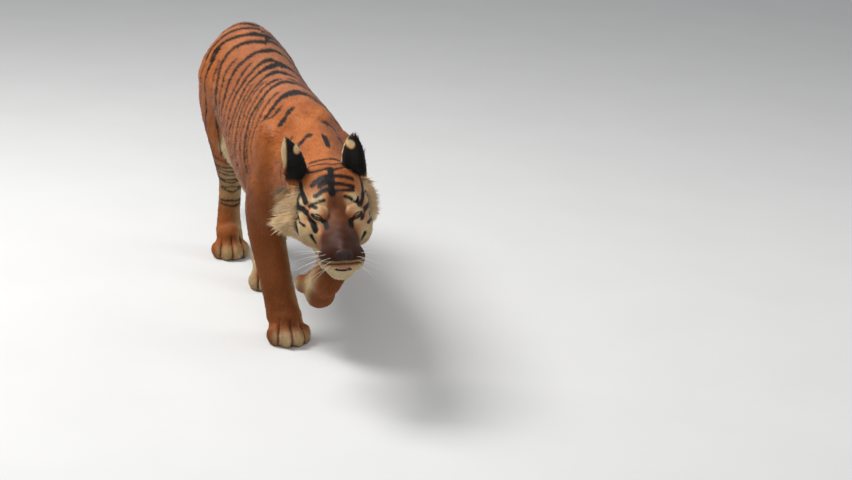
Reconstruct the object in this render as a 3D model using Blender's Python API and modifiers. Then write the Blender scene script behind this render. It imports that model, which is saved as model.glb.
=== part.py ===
"""A life-size walking tiger as a still museum model, parted into its body pieces.

Metres, +Z up. The tiger faces -Y, its left side is +X, and the three standing paws are
flat on Z = 0. The outer surface is the tips of the coat. The left forepaw is lifted in
mid stride. The forms are first made in body axes (Y = 0 at mid-trunk), fused into one
body, thinned out, and parted by thin cuts where a person would name its parts. BOX_SHIFT
then centres the whole model on its own box.
"""

import math

import bmesh
import bpy
from mathutils import Matrix, Vector

# ---------------------------------------------------------------- driving dimensions
BOX_SHIFT = Vector((0.008, -0.009, 0.0))
CUT = 0.0008  # width of the thin cuts that part the body
SEAT = 0.0005  # air between the body and a piece that is set on it or in it
VOXEL = 0.0065  # cell of the fused body before it is thinned out
BODY_TRIANGLES = 3500

EYES = Vector((-0.022, -0.785, 0.506))  # midway between the eyes
HEAD_PITCH, HEAD_YAW, HEAD_ROLL = 3.0, -4.5, -3.0  # degrees, nose down, to its right
EYE_CENTRE, EYE_RADIUS = Vector((0.0465, -0.021, 0.001)), 0.0160
EAR_HEIGHT, EAR_HALF_WIDTH, EAR_WALL = 0.130, 0.032, 0.010

PAW_WIDTH = 0.126
SOLES = {  # x, y of each standing paw's middle and where its toes point, degrees from -Y
    "fore_right": (-0.050, -0.358, 4),
    "hind_right": (-0.068, 0.452, -4),
    "hind_left": (-0.012, 0.128, 2),
}


# ---------------------------------------------------------------- shape helpers
def clear_scene():
    for obj in list(bpy.data.objects):
        bpy.data.objects.remove(obj)


def new_collection(name):
    made = bpy.data.collections.new(name)
    bpy.context.scene.collection.children.link(made)
    return made


def material(name, colour, roughness):
    made = bpy.data.materials.new(name)
    made.use_nodes = True
    shader = made.node_tree.nodes["Principled BSDF"]
    shader.inputs["Base Color"].default_value = (*colour, 1.0)
    shader.inputs["Roughness"].default_value = roughness
    shader.inputs["Metallic"].default_value = 0.0
    made.diffuse_color = (*colour, 1.0)
    return made


def put(name, bm, collection, finish=None):
    """Makes an object of a bmesh, which it uses up."""
    mesh = bpy.data.meshes.new(name)
    bmesh.ops.recalc_face_normals(bm, faces=bm.faces)
    bm.to_mesh(mesh)
    bm.free()
    obj = bpy.data.objects.new(name, mesh)
    collection.objects.link(obj)
    if finish:
        mesh.materials.append(finish)
    return obj


def through(values, t):
    """A Catmull-Rom curve through equally spaced rows of numbers, at t from 0 to the last."""
    last = len(values) - 1
    i = min(int(t), last - 1)
    u = t - i
    a, b, c, d = (Vector(values[min(max(i + k, 0), last)]) for k in (-1, 0, 1, 2))
    bend = 2 * a - 5 * b + 4 * c - d
    return 0.5 * (2 * b + (c - a) * u + bend * u * u + (3 * b - a - 3 * c + d) * u**3)


def loft(bm, stations, front, place=Matrix(), square=2.0, taper=0.0, sides=24, between=4):
    """Adds a closed tube to bm. A station is (x, y, z, half width, to the front, to the back).

    front is the direction that the last two radii lie along, as near as the tube's own run
    allows. square is the exponent of its rings: 2 is an ellipse, more is boxier. taper
    narrows the rings toward the front side, as an egg. between is the number of rings put
    from one station to the next.
    """
    steps = (len(stations) - 1) * between
    rows = [through(stations, k / between) for k in range(steps + 1)]
    rings = []
    for k, row in enumerate(rows):
        run = Vector(rows[min(k + 1, steps)][:3]) - Vector(rows[max(k - 1, 0)][:3])
        run.normalize()
        side = Vector(front).cross(run).normalized()
        out = run.cross(side)
        ring = []
        for j in range(sides):
            angle = 2 * math.pi * j / sides
            c, s = math.cos(angle), math.sin(angle)
            across = math.copysign(abs(c) ** (2 / square), c) * row[3] * (1 - taper * max(s, 0))
            along = math.copysign(abs(s) ** (2 / square), s) * (row[4] if s > 0 else row[5])
            ring.append(bm.verts.new(place @ (Vector(row[:3]) + side * across + out * along)))
        rings.append(ring)
    for low, high in zip(rings, rings[1:]):
        for j in range(len(low)):
            n = (j + 1) % len(low)
            bm.faces.new((low[j], low[n], high[n], high[j]))
    bm.faces.new(list(reversed(rings[0])))
    bm.faces.new(rings[-1])


def spun(centre, turn=(0, 0, 0)):
    """The place of a piece turned in degrees about X, then Y, then Z."""
    spin = Matrix.Identity(4)
    for angle, axis in zip(turn, "XYZ"):
        spin = Matrix.Rotation(math.radians(angle), 4, axis) @ spin
    return Matrix.Translation(centre) @ spin


def blob(bm, centre, radii, place=Matrix(), turn=(0, 0, 0), sides=24):
    """Adds an ellipsoid."""
    shape = place @ spun(centre, turn) @ Matrix.Diagonal((*radii, 1.0))
    bmesh.ops.create_uvsphere(
        bm, u_segments=sides, v_segments=sides * 2 // 3, radius=1.0, matrix=shape
    )


def both_sides(bm, centre, radii, place=Matrix(), turn=(0, 0, 0)):
    """The same ellipsoid on the left and on the right."""
    x, y, z = centre
    for side in (1, -1):
        blob(bm, (side * x, y, z), radii, place, (turn[0], side * turn[1], side * turn[2]))


def apply_modifiers(obj):
    graph = bpy.context.evaluated_depsgraph_get()
    mesh = bpy.data.meshes.new_from_object(obj.evaluated_get(graph))
    old = obj.data
    obj.modifiers.clear()
    obj.data = mesh
    bpy.data.meshes.remove(old)


def carve(obj, cutter, how="DIFFERENCE"):
    cut = obj.modifiers.new("carve", "BOOLEAN")
    cut.operation = how
    cut.solver = "EXACT"
    cut.object = cutter
    apply_modifiers(obj)


# ---------------------------------------------------------------- body forms
def add_trunk(bm):
    # y, x and height of the middle, half width, up to the back line, down to the belly
    sections = (
        (0.580, -0.044, 0.606, 0.050, 0.052, 0.070),
        (0.545, -0.042, 0.606, 0.102, 0.106, 0.130),
        (0.470, -0.036, 0.602, 0.146, 0.160, 0.170),
        (0.370, -0.026, 0.592, 0.152, 0.163, 0.178),
        (0.240, -0.014, 0.562, 0.146, 0.162, 0.178),
        (0.100, -0.008, 0.532, 0.156, 0.164, 0.188),
        (-0.050, -0.006, 0.513, 0.166, 0.176, 0.203),
        (-0.200, -0.003, 0.504, 0.166, 0.181, 0.212),
        (-0.320, 0.000, 0.504, 0.146, 0.176, 0.200),
        (-0.430, 0.000, 0.508, 0.114, 0.150, 0.155),
        (-0.500, 0.000, 0.515, 0.082, 0.110, 0.105),
    )
    stations = [(x, y, z, w, up, down) for y, x, z, w, up, down in sections]
    loft(bm, stations, (0, 0, 1), square=2.1, taper=0.32)
    blob(bm, (-0.010, -0.395, 0.410), (0.070, 0.095, 0.074))  # breastbone
    blob(bm, (-0.008, 0.160, 0.385), (0.085, 0.160, 0.050))  # hanging belly fold
    for side in (1, -1):
        blob(bm, (-0.008 + side * 0.084, 0.265, 0.420), (0.034, 0.095, 0.078))  # flank fold
        blob(bm, (side * 0.036, -0.300, 0.622), (0.036, 0.110, 0.056), turn=(-6, 0, 0))  # blade top


def add_neck(bm):
    # x, y, z, half width, up, down
    stations = (
        (0.000, -0.300, 0.550, 0.118, 0.112, 0.170),
        (0.000, -0.400, 0.540, 0.112, 0.122, 0.165),
        (-0.005, -0.500, 0.532, 0.103, 0.118, 0.150),
        (-0.013, -0.590, 0.526, 0.097, 0.107, 0.132),
        (-0.020, -0.670, 0.522, 0.092, 0.095, 0.112),
        (-0.025, -0.740, 0.518, 0.078, 0.075, 0.090),
    )
    loft(bm, stations, (0, 0, 1), taper=0.25)


def add_paw(bm, place, width=PAW_WIDTH):
    """A cat's paw about its sole's middle, pointing to -Y: four toes and the pad block."""
    k = width / PAW_WIDTH
    blob(bm, (0, 0.030 * k, 0.024 * k), (0.046 * k, 0.042 * k, 0.032 * k), place)  # heel
    blob(bm, (0, -0.006 * k, 0.032 * k), (0.052 * k, 0.058 * k, 0.038 * k), place)  # sole pad
    blob(bm, (0, 0.002, 0.070 * k), (0.046 * k, 0.048 * k, 0.042 * k), place)  # instep
    toes = ((-0.045, -0.034, 12), (-0.0165, -0.056, 4), (0.0165, -0.056, -4), (0.045, -0.034, -12))
    for x, y, turn in toes:
        blob(bm, (x * k, y * k, 0.026 * k), (0.0190 * k, 0.037 * k, 0.0300 * k), place, (0, 0, turn))


def sole_place(leg):
    x, y, heading = SOLES[leg]
    return spun((x, y, 0), (0, 0, heading))


LIFTED_PAW = spun((0.016, -0.466, 0.196), (150, 0, 4)) @ Matrix.Translation((0, 0, -0.040))


def add_forelegs(bm):
    # shoulder blade muscles, then upper arm, of the planted leg and of the lifted one
    blob(bm, (-0.102, -0.300, 0.510), (0.048, 0.100, 0.125), turn=(-14, 0, 0))
    blob(bm, (-0.108, -0.315, 0.425), (0.053, 0.088, 0.105))
    blob(bm, (0.090, -0.345, 0.500), (0.046, 0.100, 0.120), turn=(10, 0, 0))
    blob(bm, (0.092, -0.365, 0.430), (0.050, 0.086, 0.095))
    # x, y, z, half width, to the front, to the back
    planted = (
        (-0.108, -0.315, 0.470, 0.054, 0.080, 0.080),
        (-0.112, -0.292, 0.390, 0.054, 0.066, 0.072),
        (-0.104, -0.293, 0.310, 0.053, 0.058, 0.062),
        (-0.085, -0.314, 0.210, 0.048, 0.048, 0.051),
        (-0.068, -0.332, 0.130, 0.047, 0.045, 0.048),
        (-0.056, -0.346, 0.062, 0.050, 0.046, 0.040),
    )
    loft(bm, planted, (0, -1, 0))
    add_paw(bm, sole_place("fore_right"))
    lifted = (
        (0.092, -0.350, 0.480, 0.054, 0.078, 0.078),
        (0.100, -0.362, 0.420, 0.054, 0.064, 0.066),
        (0.088, -0.418, 0.365, 0.052, 0.055, 0.058),
        (0.063, -0.475, 0.312, 0.049, 0.049, 0.050),
        (0.037, -0.520, 0.264, 0.048, 0.048, 0.046),
        (0.020, -0.518, 0.228, 0.048, 0.045, 0.038),
        (0.016, -0.484, 0.200, 0.045, 0.036, 0.034),
    )
    loft(bm, lifted, (0, -0.6, 0.5))
    add_paw(bm, LIFTED_PAW, 0.118)


def add_hindlegs(bm):
    # x, y, z, half width, to the front, to the back
    right = (
        (-0.094, 0.450, 0.640, 0.066, 0.110, 0.095),
        (-0.110, 0.425, 0.560, 0.070, 0.130, 0.128),
        (-0.110, 0.390, 0.470, 0.063, 0.112, 0.125),
        (-0.096, 0.398, 0.380, 0.052, 0.078, 0.090),
        (-0.076, 0.456, 0.295, 0.042, 0.052, 0.060),
        (-0.058, 0.516, 0.225, 0.037, 0.042, 0.046),
        (-0.062, 0.504, 0.140, 0.036, 0.036, 0.038),
        (-0.068, 0.478, 0.065, 0.042, 0.040, 0.038),
    )
    loft(bm, right, (0, -1, 0))
    add_paw(bm, sole_place("hind_right"), 0.120)
    left = (
        (0.036, 0.430, 0.620, 0.066, 0.110, 0.100),
        (0.066, 0.350, 0.550, 0.068, 0.125, 0.130),
        (0.066, 0.270, 0.470, 0.062, 0.100, 0.120),
        (0.046, 0.232, 0.380, 0.052, 0.072, 0.086),
        (0.016, 0.245, 0.295, 0.042, 0.050, 0.056),
        (-0.008, 0.265, 0.225, 0.037, 0.042, 0.044),
        (-0.012, 0.218, 0.140, 0.036, 0.036, 0.038),
        (-0.012, 0.162, 0.065, 0.042, 0.040, 0.038),
    )
    loft(bm, left, (0, -1, 0))
    add_paw(bm, sole_place("hind_left"), 0.120)


TAIL = (
    (-0.040, 0.490, 0.680, 0.050, 0.050, 0.050),
    (-0.040, 0.585, 0.620, 0.036, 0.036, 0.036),
    (-0.034, 0.638, 0.510, 0.029, 0.029, 0.029),
    (-0.026, 0.668, 0.390, 0.026, 0.026, 0.026),
    (-0.018, 0.712, 0.285, 0.025, 0.025, 0.025),
    (-0.010, 0.785, 0.215, 0.024, 0.024, 0.024),
    (-0.004, 0.868, 0.200, 0.022, 0.022, 0.022),
    (0.000, 0.930, 0.235, 0.018, 0.018, 0.018),
    (0.002, 0.955, 0.280, 0.009, 0.009, 0.009),
)


# ---------------------------------------------------------------- head
HEAD = spun(EYES, (0, 0, 0)) @ Matrix.Rotation(math.radians(HEAD_YAW), 4, "Z")
HEAD = HEAD @ Matrix.Rotation(math.radians(HEAD_PITCH), 4, "X")
HEAD = HEAD @ Matrix.Rotation(math.radians(HEAD_ROLL), 4, "Y")


def add_head(bm):
    # y, height, half width, up, down, about the eyes' middle
    sections = (
        (-0.152, -0.079, 0.024, 0.015, 0.022),
        (-0.145, -0.081, 0.039, 0.028, 0.034),
        (-0.120, -0.077, 0.048, 0.040, 0.042),
        (-0.085, -0.067, 0.052, 0.047, 0.050),
        (-0.040, -0.051, 0.062, 0.049, 0.062),
        (0.000, -0.034, 0.082, 0.058, 0.076),
        (0.040, -0.013, 0.094, 0.080, 0.094),
        (0.080, 0.000, 0.098, 0.098, 0.102),
        (0.125, 0.004, 0.096, 0.098, 0.104),
        (0.185, -0.002, 0.082, 0.078, 0.094),
    )
    stations = [(0, y, z, w, up, down) for y, z, w, up, down in sections]
    loft(bm, stations, (0, 0, 1), HEAD, square=2.3)
    both_sides(bm, (0.030, -0.106, -0.083), (0.032, 0.040, 0.033), HEAD)  # whisker pads
    blob(bm, (0, -0.140, -0.056), (0.022, 0.014, 0.015), HEAD)  # nose end
    both_sides(bm, (0.056, 0.010, -0.045), (0.040, 0.060, 0.048), HEAD)  # cheek bones
    both_sides(bm, (0.044, -0.002, 0.018), (0.028, 0.024, 0.013), HEAD, (25, 0, 0))  # brows
    both_sides(bm, (0.062, 0.065, -0.050), (0.046, 0.070, 0.056), HEAD)  # jaw muscles


def add_lower_jaw(bm):
    # y, height, half width, up, down
    sections = (
        (-0.126, -0.125, 0.018, 0.010, 0.013),
        (-0.113, -0.125, 0.032, 0.017, 0.018),
        (-0.082, -0.126, 0.038, 0.022, 0.021),
        (-0.030, -0.121, 0.046, 0.032, 0.026),
        (0.040, -0.104, 0.058, 0.045, 0.032),
        (0.100, -0.080, 0.050, 0.040, 0.024),
    )
    stations = [(0, y, z, w, up, down) for y, z, w, up, down in sections]
    loft(bm, stations, (0, 0, 1), HEAD, square=2.2)


def add_ear(bm, place):
    """A cupped ear standing on its root, back toward +Y; its cup opens toward -Y."""
    rises = (0.00, 0.14, 0.30, 0.46, 0.62, 0.76, 0.88, 0.96, 1.00)
    widths = (0.72, 0.88, 1.00, 1.02, 0.96, 0.83, 0.62, 0.40, 0.22)
    arc = 7
    rings = []
    for rise, width in zip(rises, widths):
        half = EAR_HALF_WIDTH * width
        deep = half * (1.0 - 0.35 * rise)
        lean = 0.012 * math.sin(math.pi * rise)
        ring = []
        for wall, turn in ((0.0, 1), (EAR_WALL, -1)):
            for j in range(arc):
                angle = math.radians(104) * (2 * j / (arc - 1) - 1) * turn
                thin = wall * (0.45 + 0.55 * math.cos(angle / 1.3))
                x, y = (half - thin) * math.sin(angle), (deep - thin) * math.cos(angle) + lean
                ring.append(bm.verts.new(place @ Vector((x, y, EAR_HEIGHT * rise))))
        rings.append(ring)
    for low, high in zip(rings, rings[1:]):
        for j in range(len(low)):
            n = (j + 1) % len(low)
            bm.faces.new((low[j], low[n], high[n], high[j]))
    for ring in (rings[0], rings[-1]):
        for j in range(arc - 1):
            bm.faces.new((ring[j], ring[j + 1], ring[-2 - j], ring[-1 - j]))


def add_ruff(bm, side):
    """The pointed fringe of a cheek, from under the ear to the angle of the jaw."""
    # x, y, z, half width fore and aft, outward, inward
    stations = (
        (0.080, 0.092, 0.040, 0.018, 0.016, 0.020),
        (0.086, 0.092, 0.020, 0.032, 0.044, 0.030),
        (0.088, 0.086, -0.010, 0.042, 0.062, 0.034),
        (0.088, 0.076, -0.040, 0.044, 0.060, 0.034),
        (0.082, 0.066, -0.066, 0.036, 0.042, 0.034),
        (0.070, 0.056, -0.086, 0.018, 0.016, 0.020),
    )
    # the head is swung to its right, where the fringe stands out; the far one lies flatter
    spread, lift = (0.84, 0.020) if side > 0 else (1.38, 0.0)
    rows = [(side * x, y, z + lift, w, spread * out, inward) for x, y, z, w, out, inward in stations]
    loft(bm, rows, (side, 0.35, 0), HEAD, sides=12, between=2)


# ---------------------------------------------------------------- the whole body
def fused_body(collection, finish):
    bm = bmesh.new()
    for add in (add_trunk, add_neck, add_forelegs, add_hindlegs, add_head, add_lower_jaw):
        add(bm)
    loft(bm, TAIL, (0, -0.3, 1))
    body = put("body", bm, collection, finish)
    fuse = body.modifiers.new("fuse", "REMESH")
    fuse.mode = "VOXEL"
    fuse.voxel_size = VOXEL
    apply_modifiers(body)
    # the trunk and neck are softened much more than the head, the paws and the tail
    fleshy = body.vertex_groups.new(name="fleshy")
    for vert in body.data.vertices:
        x, y, z = vert.co
        above = min(max((z - 0.30) / 0.12, 0), 1)
        behind_head = min(max((y + 0.68) / 0.06, 0), 1)
        before_tail = min(max((0.60 - y) / 0.06, 0), 1)
        fleshy.add([vert.index], above * behind_head * before_tail, "REPLACE")
    for name, times in (("soften", 8), ("soften_flesh", 44)):
        soften = body.modifiers.new(name, "SMOOTH")
        soften.factor = 0.5
        soften.iterations = times
        if times > 8:
            soften.vertex_group = "fleshy"
    apply_modifiers(body)
    thin = body.modifiers.new("thin", "DECIMATE")
    thin.ratio = BODY_TRIANGLES / (2 * len(body.data.polygons))
    thin.use_collapse_triangulate = True
    apply_modifiers(body)
    # every sole flat on the floor
    bm = bmesh.new()
    bm.from_mesh(body.data)
    whole = bm.verts[:] + bm.edges[:] + bm.faces[:]
    made = bmesh.ops.bisect_plane(bm, geom=whole, plane_co=(0, 0, 0), plane_no=(0, 0, -1), clear_outer=True)
    rim = [item for item in made["geom_cut"] if isinstance(item, bmesh.types.BMEdge)]
    bmesh.ops.holes_fill(bm, edges=rim)
    bmesh.ops.triangulate(bm, faces=bm.faces)
    bm.to_mesh(body.data)
    bm.free()
    return body


# ---------------------------------------------------------------- cuts
def slab(collection, name, centre, normal, half_sides, thick=CUT):
    """A rectangular plate whose flat sides look along normal."""
    bm = bmesh.new()
    bmesh.ops.create_cube(bm, size=2.0)
    turn = Vector(normal).to_track_quat("Z", "Y").to_matrix().to_4x4()
    size = Matrix.Diagonal((half_sides[0], half_sides[1], thick / 2, 1.0))
    bmesh.ops.transform(bm, verts=bm.verts, matrix=Matrix.Translation(centre) @ turn @ size)
    return put(name, bm, collection)


def shell(collection, name, centre, radii, place=Matrix(), turn=(0, 0, 0)):
    """A thin hollow ellipsoid."""
    bm = bmesh.new()
    blob(bm, centre, radii, place, turn, sides=12)
    outer = len(bm.faces)
    blob(bm, centre, [r - CUT for r in radii], place, turn, sides=12)
    made = put(name, bm, collection)
    for face in made.data.polygons[outer:]:
        face.flip()
    return made


def limb_cuts(cutters, name, centre, radii, turn, joint, looks, half_sides):
    """The bowl that parts a limb's upper length from the trunk, and the plate at its joint."""
    bowl = shell(cutters, name + "_bowl_cut", centre, radii, turn=turn)
    deep = 2 * max(radii)
    below = Vector(joint) - Vector(looks).normalized() * deep / 2
    block = slab(cutters, name + "_below", below, looks, (deep, deep), deep)
    carve(bowl, block)
    bpy.data.objects.remove(block)
    return bowl, slab(cutters, name + "_joint_cut", joint, looks, half_sides)


def grown(obj, by):
    """A copy of obj whose skin stands off it by a distance."""
    copy = bpy.data.objects.new(obj.name + "_grown", obj.data.copy())
    bpy.context.scene.collection.objects.link(copy)
    push = copy.modifiers.new("push", "DISPLACE")
    push.strength = by
    push.mid_level = 0.0
    apply_modifiers(copy)
    return copy


def loose_pieces(mesh):
    """The closed pieces of a mesh as bmeshes, largest first."""
    bm = bmesh.new()
    bm.from_mesh(mesh)
    bmesh.ops.remove_doubles(bm, verts=bm.verts, dist=0.00002)
    left = set(bm.verts)
    groups = []
    while left:
        group, edge = set(), [left.pop()]
        while edge:
            vert = edge.pop()
            group.add(vert)
            for link in vert.link_edges:
                other = link.other_vert(vert)
                if other in left:
                    left.remove(other)
                    edge.append(other)
        groups.append(group)
    pieces = []
    for group in groups:
        piece = bm.copy()
        keep = {vert.index for vert in group}
        piece.verts.ensure_lookup_table()
        gone = [vert for vert in piece.verts if vert.index not in keep]
        bmesh.ops.delete(piece, geom=gone, context="VERTS")
        pieces.append(piece)
    bm.free()
    return sorted(pieces, key=lambda piece: -piece.calc_volume())


def seated(name, bm, bases, collection, finish):
    """A piece set on others: what lies inside them, and the air round them, is cut away."""
    obj = put(name, bm, collection, finish)
    for base in bases:
        around = grown(base, SEAT)
        carve(obj, around)
        bpy.data.objects.remove(around)
    largest = loose_pieces(obj.data)[0]
    largest.to_mesh(obj.data)
    largest.free()
    return obj


# name of each piece of the body and a point near its middle
PIECES = {
    "head": (-0.022, -0.740, 0.490),
    "lower_jaw": (-0.025, -0.850, 0.370),
    "neck": (-0.008, -0.560, 0.525),
    "trunk": (-0.005, 0.080, 0.530),
    "tail_root": (-0.032, 0.645, 0.480),
    "tail_middle": (-0.020, 0.715, 0.300),
    "tail_end": (-0.004, 0.870, 0.205),
    "fore_right_upper": (-0.105, -0.305, 0.460),
    "fore_right_forearm": (-0.085, -0.315, 0.200),
    "fore_right_paw": (-0.050, -0.355, 0.045),
    "fore_left_upper": (0.095, -0.355, 0.460),
    "fore_left_forearm": (0.045, -0.485, 0.295),
    "fore_left_paw": (0.012, -0.458, 0.180),
    "hind_right_thigh": (-0.110, 0.420, 0.510),
    "hind_right_shank": (-0.075, 0.465, 0.260),
    "hind_right_foot": (-0.063, 0.500, 0.135),
    "hind_right_paw": (-0.068, 0.455, 0.040),
    "hind_left_thigh": (0.062, 0.320, 0.490),
    "hind_left_shank": (0.015, 0.250, 0.270),
    "hind_left_foot": (-0.012, 0.215, 0.140),
    "hind_left_paw": (-0.012, 0.145, 0.040),
}


def part_body(body, collection, cutters, finish):
    """Cuts the body at its joints and names the pieces."""
    upright = (0, 0, 1)
    thin_cuts = (
        slab(cutters, "neck_base_cut", (0, -0.475, 0.520), (0, -0.936, 0.351), (0.200, 0.185)),
        slab(cutters, "head_base_cut", HEAD @ Vector((0, 0.150, -0.010)), (0, -1, -0.12), (0.160, 0.160)),
        shell(cutters, "jaw_cut", (0, -0.030, -0.172), (0.075, 0.150, 0.062), HEAD, (-6, 0, 0)),
        slab(cutters, "tail_root_cut", (-0.037, 0.622, 0.548), (0, 0.43, -0.90), (0.045, 0.045)),
        slab(cutters, "tail_middle_cut", (-0.026, 0.668, 0.390), (0, 0.32, -0.95), (0.050, 0.050)),
        slab(cutters, "tail_end_cut", (-0.010, 0.785, 0.215), (0, 0.88, -0.48), (0.050, 0.050)),
        *limb_cuts(
            cutters, "fore_right", (-0.115, -0.305, 0.465), (0.090, 0.125, 0.190), (0, -5, 0),
            (-0.100, -0.297, 0.312), (0.42, 0, 0.91), (0.072, 0.085),
        ),
        slab(cutters, "fore_right_paw_cut", (-0.060, -0.344, 0.102), upright, (0.072, 0.074)),
        *limb_cuts(
            cutters, "fore_left", (0.090, -0.375, 0.470), (0.092, 0.098, 0.228), (-30, 7, 0),
            (0.064, -0.470, 0.316), (0.34, 0.69, 0.64), (0.064, 0.064),
        ),
        slab(cutters, "fore_left_paw_cut", (0.021, -0.504, 0.218), (-0.18, 0.45, -0.87), (0.065, 0.065)),
        *limb_cuts(
            cutters, "hind_right", (-0.118, 0.425, 0.505), (0.090, 0.160, 0.215), (0, -8, 0),
            (-0.092, 0.412, 0.352), (-0.19, -0.55, 0.81), (0.072, 0.095),
        ),
        slab(cutters, "hind_right_foot_cut", (-0.060, 0.512, 0.185), upright, (0.060, 0.060)),
        slab(cutters, "hind_right_paw_cut", (-0.067, 0.464, 0.092), upright, (0.065, 0.076)),
        *limb_cuts(
            cutters, "hind_left", (0.062, 0.335, 0.490), (0.085, 0.165, 0.250), (-25, 12, 0),
            (0.030, 0.238, 0.322), (0.08, -0.14, 0.98), (0.064, 0.090),
        ),
        slab(cutters, "hind_left_foot_cut", (-0.010, 0.245, 0.188), (0, 0.45, 0.89), (0.065, 0.065)),
        slab(cutters, "hind_left_paw_cut", (-0.012, 0.164, 0.090), (0, 0.40, 0.92), (0.065, 0.072)),
    )
    for cutter in thin_cuts:
        carve(body, cutter)
    pieces = loose_pieces(body.data)
    bpy.data.objects.remove(body)
    for name, point in PIECES.items():
        middle = Vector(point)

        def away(piece):
            centre = sum((vert.co for vert in piece.verts), Vector()) / len(piece.verts)
            return (centre - middle).length

        nearest = min(pieces, key=away)
        pieces.remove(nearest)
        put(name, nearest, collection, finish)
    for scrap in pieces:
        scrap.free()


clear_scene()
tiger = new_collection("tiger")
cutters = new_collection("cutters")
coat = material("coat", (0.55, 0.24, 0.08), 0.75)
iris = material("eye", (0.30, 0.17, 0.03), 0.10)
leather = material("nose_leather", (0.30, 0.12, 0.09), 0.50)
flesh = material("tongue_flesh", (0.55, 0.20, 0.20), 0.35)
body = fused_body(tiger, coat)

for side, name in ((1, "left"), (-1, "right")):
    centre = HEAD @ Vector((side * EYE_CENTRE.x, EYE_CENTRE.y, EYE_CENTRE.z))
    for grow, purpose in ((SEAT, "socket_" + name), (0.0, "eye_" + name)):
        bm = bmesh.new()
        radius = EYE_RADIUS + grow
        blob(bm, centre, (radius, radius, radius), sides=12)
        ball = put(purpose, bm, cutters if grow else tiger, iris)
        if grow:
            carve(body, ball)
    bm = bmesh.new()
    facing = Matrix.Rotation(math.radians(158 if side > 0 else -152), 4, "Z")
    lean = (4, -4, 0) if side > 0 else (4, -14, 0)
    add_ear(bm, HEAD @ spun((side * 0.080 - 0.008, 0.112, 0.050), lean) @ facing)
    ear = seated("ear_" + name, bm, [body], tiger, coat)
    bm = bmesh.new()
    add_ruff(bm, side)
    seated("ruff_" + name, bm, [body, ear], tiger, coat)

bm = bmesh.new()
blob(bm, (0, -0.150, -0.061), (0.024, 0.010, 0.014), HEAD, sides=12)
seated("nose", bm, [body], tiger, leather)
bm = bmesh.new()
blob(bm, (0.004, -0.128, -0.115), (0.016, 0.014, 0.006), HEAD, sides=12)
seated("tongue", bm, [body], tiger, flesh)
part_body(body, tiger, cutters, coat)

for obj in bpy.data.objects:
    obj.data.transform(Matrix.Translation(BOX_SHIFT))
for obj in tiger.objects:
    for face in obj.data.polygons:
        face.use_smooth = True
for obj in cutters.objects:
    obj.hide_render = True
    obj.display_type = "WIRE"
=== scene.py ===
import math
import bmesh
import bpy
import numpy as np
from mathutils import Matrix, Vector
from mathutils.bvhtree import BVHTree


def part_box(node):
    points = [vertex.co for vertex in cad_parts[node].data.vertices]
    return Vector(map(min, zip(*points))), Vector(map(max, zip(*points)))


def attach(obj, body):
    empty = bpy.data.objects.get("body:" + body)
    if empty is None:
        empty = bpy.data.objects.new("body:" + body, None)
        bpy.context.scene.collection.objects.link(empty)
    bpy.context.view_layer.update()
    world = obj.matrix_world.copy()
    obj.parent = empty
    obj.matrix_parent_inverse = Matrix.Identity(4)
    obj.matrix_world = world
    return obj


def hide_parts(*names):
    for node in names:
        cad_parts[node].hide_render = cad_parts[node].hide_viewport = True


# ---- The hide ----
# A walking tiger, life size, as a museum shows it. Its hide is one closed skin drawn over the whole
# body, legs and tail, tanned leather stretched over a form. It lies under the tips of the coat by the
# depth of the fur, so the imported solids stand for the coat's outer surface and are not shown.
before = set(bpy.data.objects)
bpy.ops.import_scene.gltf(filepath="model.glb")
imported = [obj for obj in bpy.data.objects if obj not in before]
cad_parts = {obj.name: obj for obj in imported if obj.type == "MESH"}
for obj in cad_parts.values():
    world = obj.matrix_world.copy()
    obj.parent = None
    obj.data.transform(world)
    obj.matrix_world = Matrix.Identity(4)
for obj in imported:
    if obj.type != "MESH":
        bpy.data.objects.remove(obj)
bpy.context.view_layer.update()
FLESH = [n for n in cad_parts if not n.startswith(("eye", "ear", "ruff", "nose", "tongue"))]
HIDE_GRID, EAR_GRID = 0.006, 0.0026
SEAM_COVER = 0.0006
FEATURES = ["eye_left", "eye_right", "nose", "tongue"]  # joined in, so that the hide closes over them
KEEP, RESTORE = 0.5, -0.52  # a pull and an answering push that smooth a form without shrinking it
OUTSIDE_DEPTH = 4.0  # of the fur where the table names no part, mm
FUR_DEPTH = {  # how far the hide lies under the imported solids, mm
    "head": 4.0, "lower_jaw": 4.0, "neck": 6.5, "trunk": 6.0, "tail_root": 6.0, "tail_middle": 6.0,
    "tail_end": 6.0, "upper": 5.5, "thigh": 5.5, "forearm": 4.5, "shank": 4.5, "foot": 4.0, "paw": 3.0}


def joined(names, swell):
    """One mesh of the named solids, each swollen a little so that the cuts between them close."""
    whole = bmesh.new()
    for name in names:
        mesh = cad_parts[name].data.copy()
        part = bmesh.new()
        part.from_mesh(mesh)
        bmesh.ops.remove_doubles(part, verts=part.verts, dist=1e-5)
        part.normal_update()
        for vert in part.verts:
            vert.co += vert.normal * swell
        part.to_mesh(mesh)
        part.free()
        whole.from_mesh(mesh)
        bpy.data.meshes.remove(mesh)
    mesh = bpy.data.meshes.new("form")
    whole.to_mesh(mesh)
    whole.free()
    return mesh


def gridded(mesh, grid):
    """The same closed form with even four-sided faces about one grid step across."""
    form = bpy.data.objects.new("form", mesh)
    bpy.context.scene.collection.objects.link(form)
    even = form.modifiers.new("even", "REMESH")
    even.mode, even.voxel_size = "VOXEL", grid
    out = bpy.data.meshes.new_from_object(form.evaluated_get(bpy.context.evaluated_depsgraph_get()))
    bpy.data.objects.remove(form)
    return out


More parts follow.
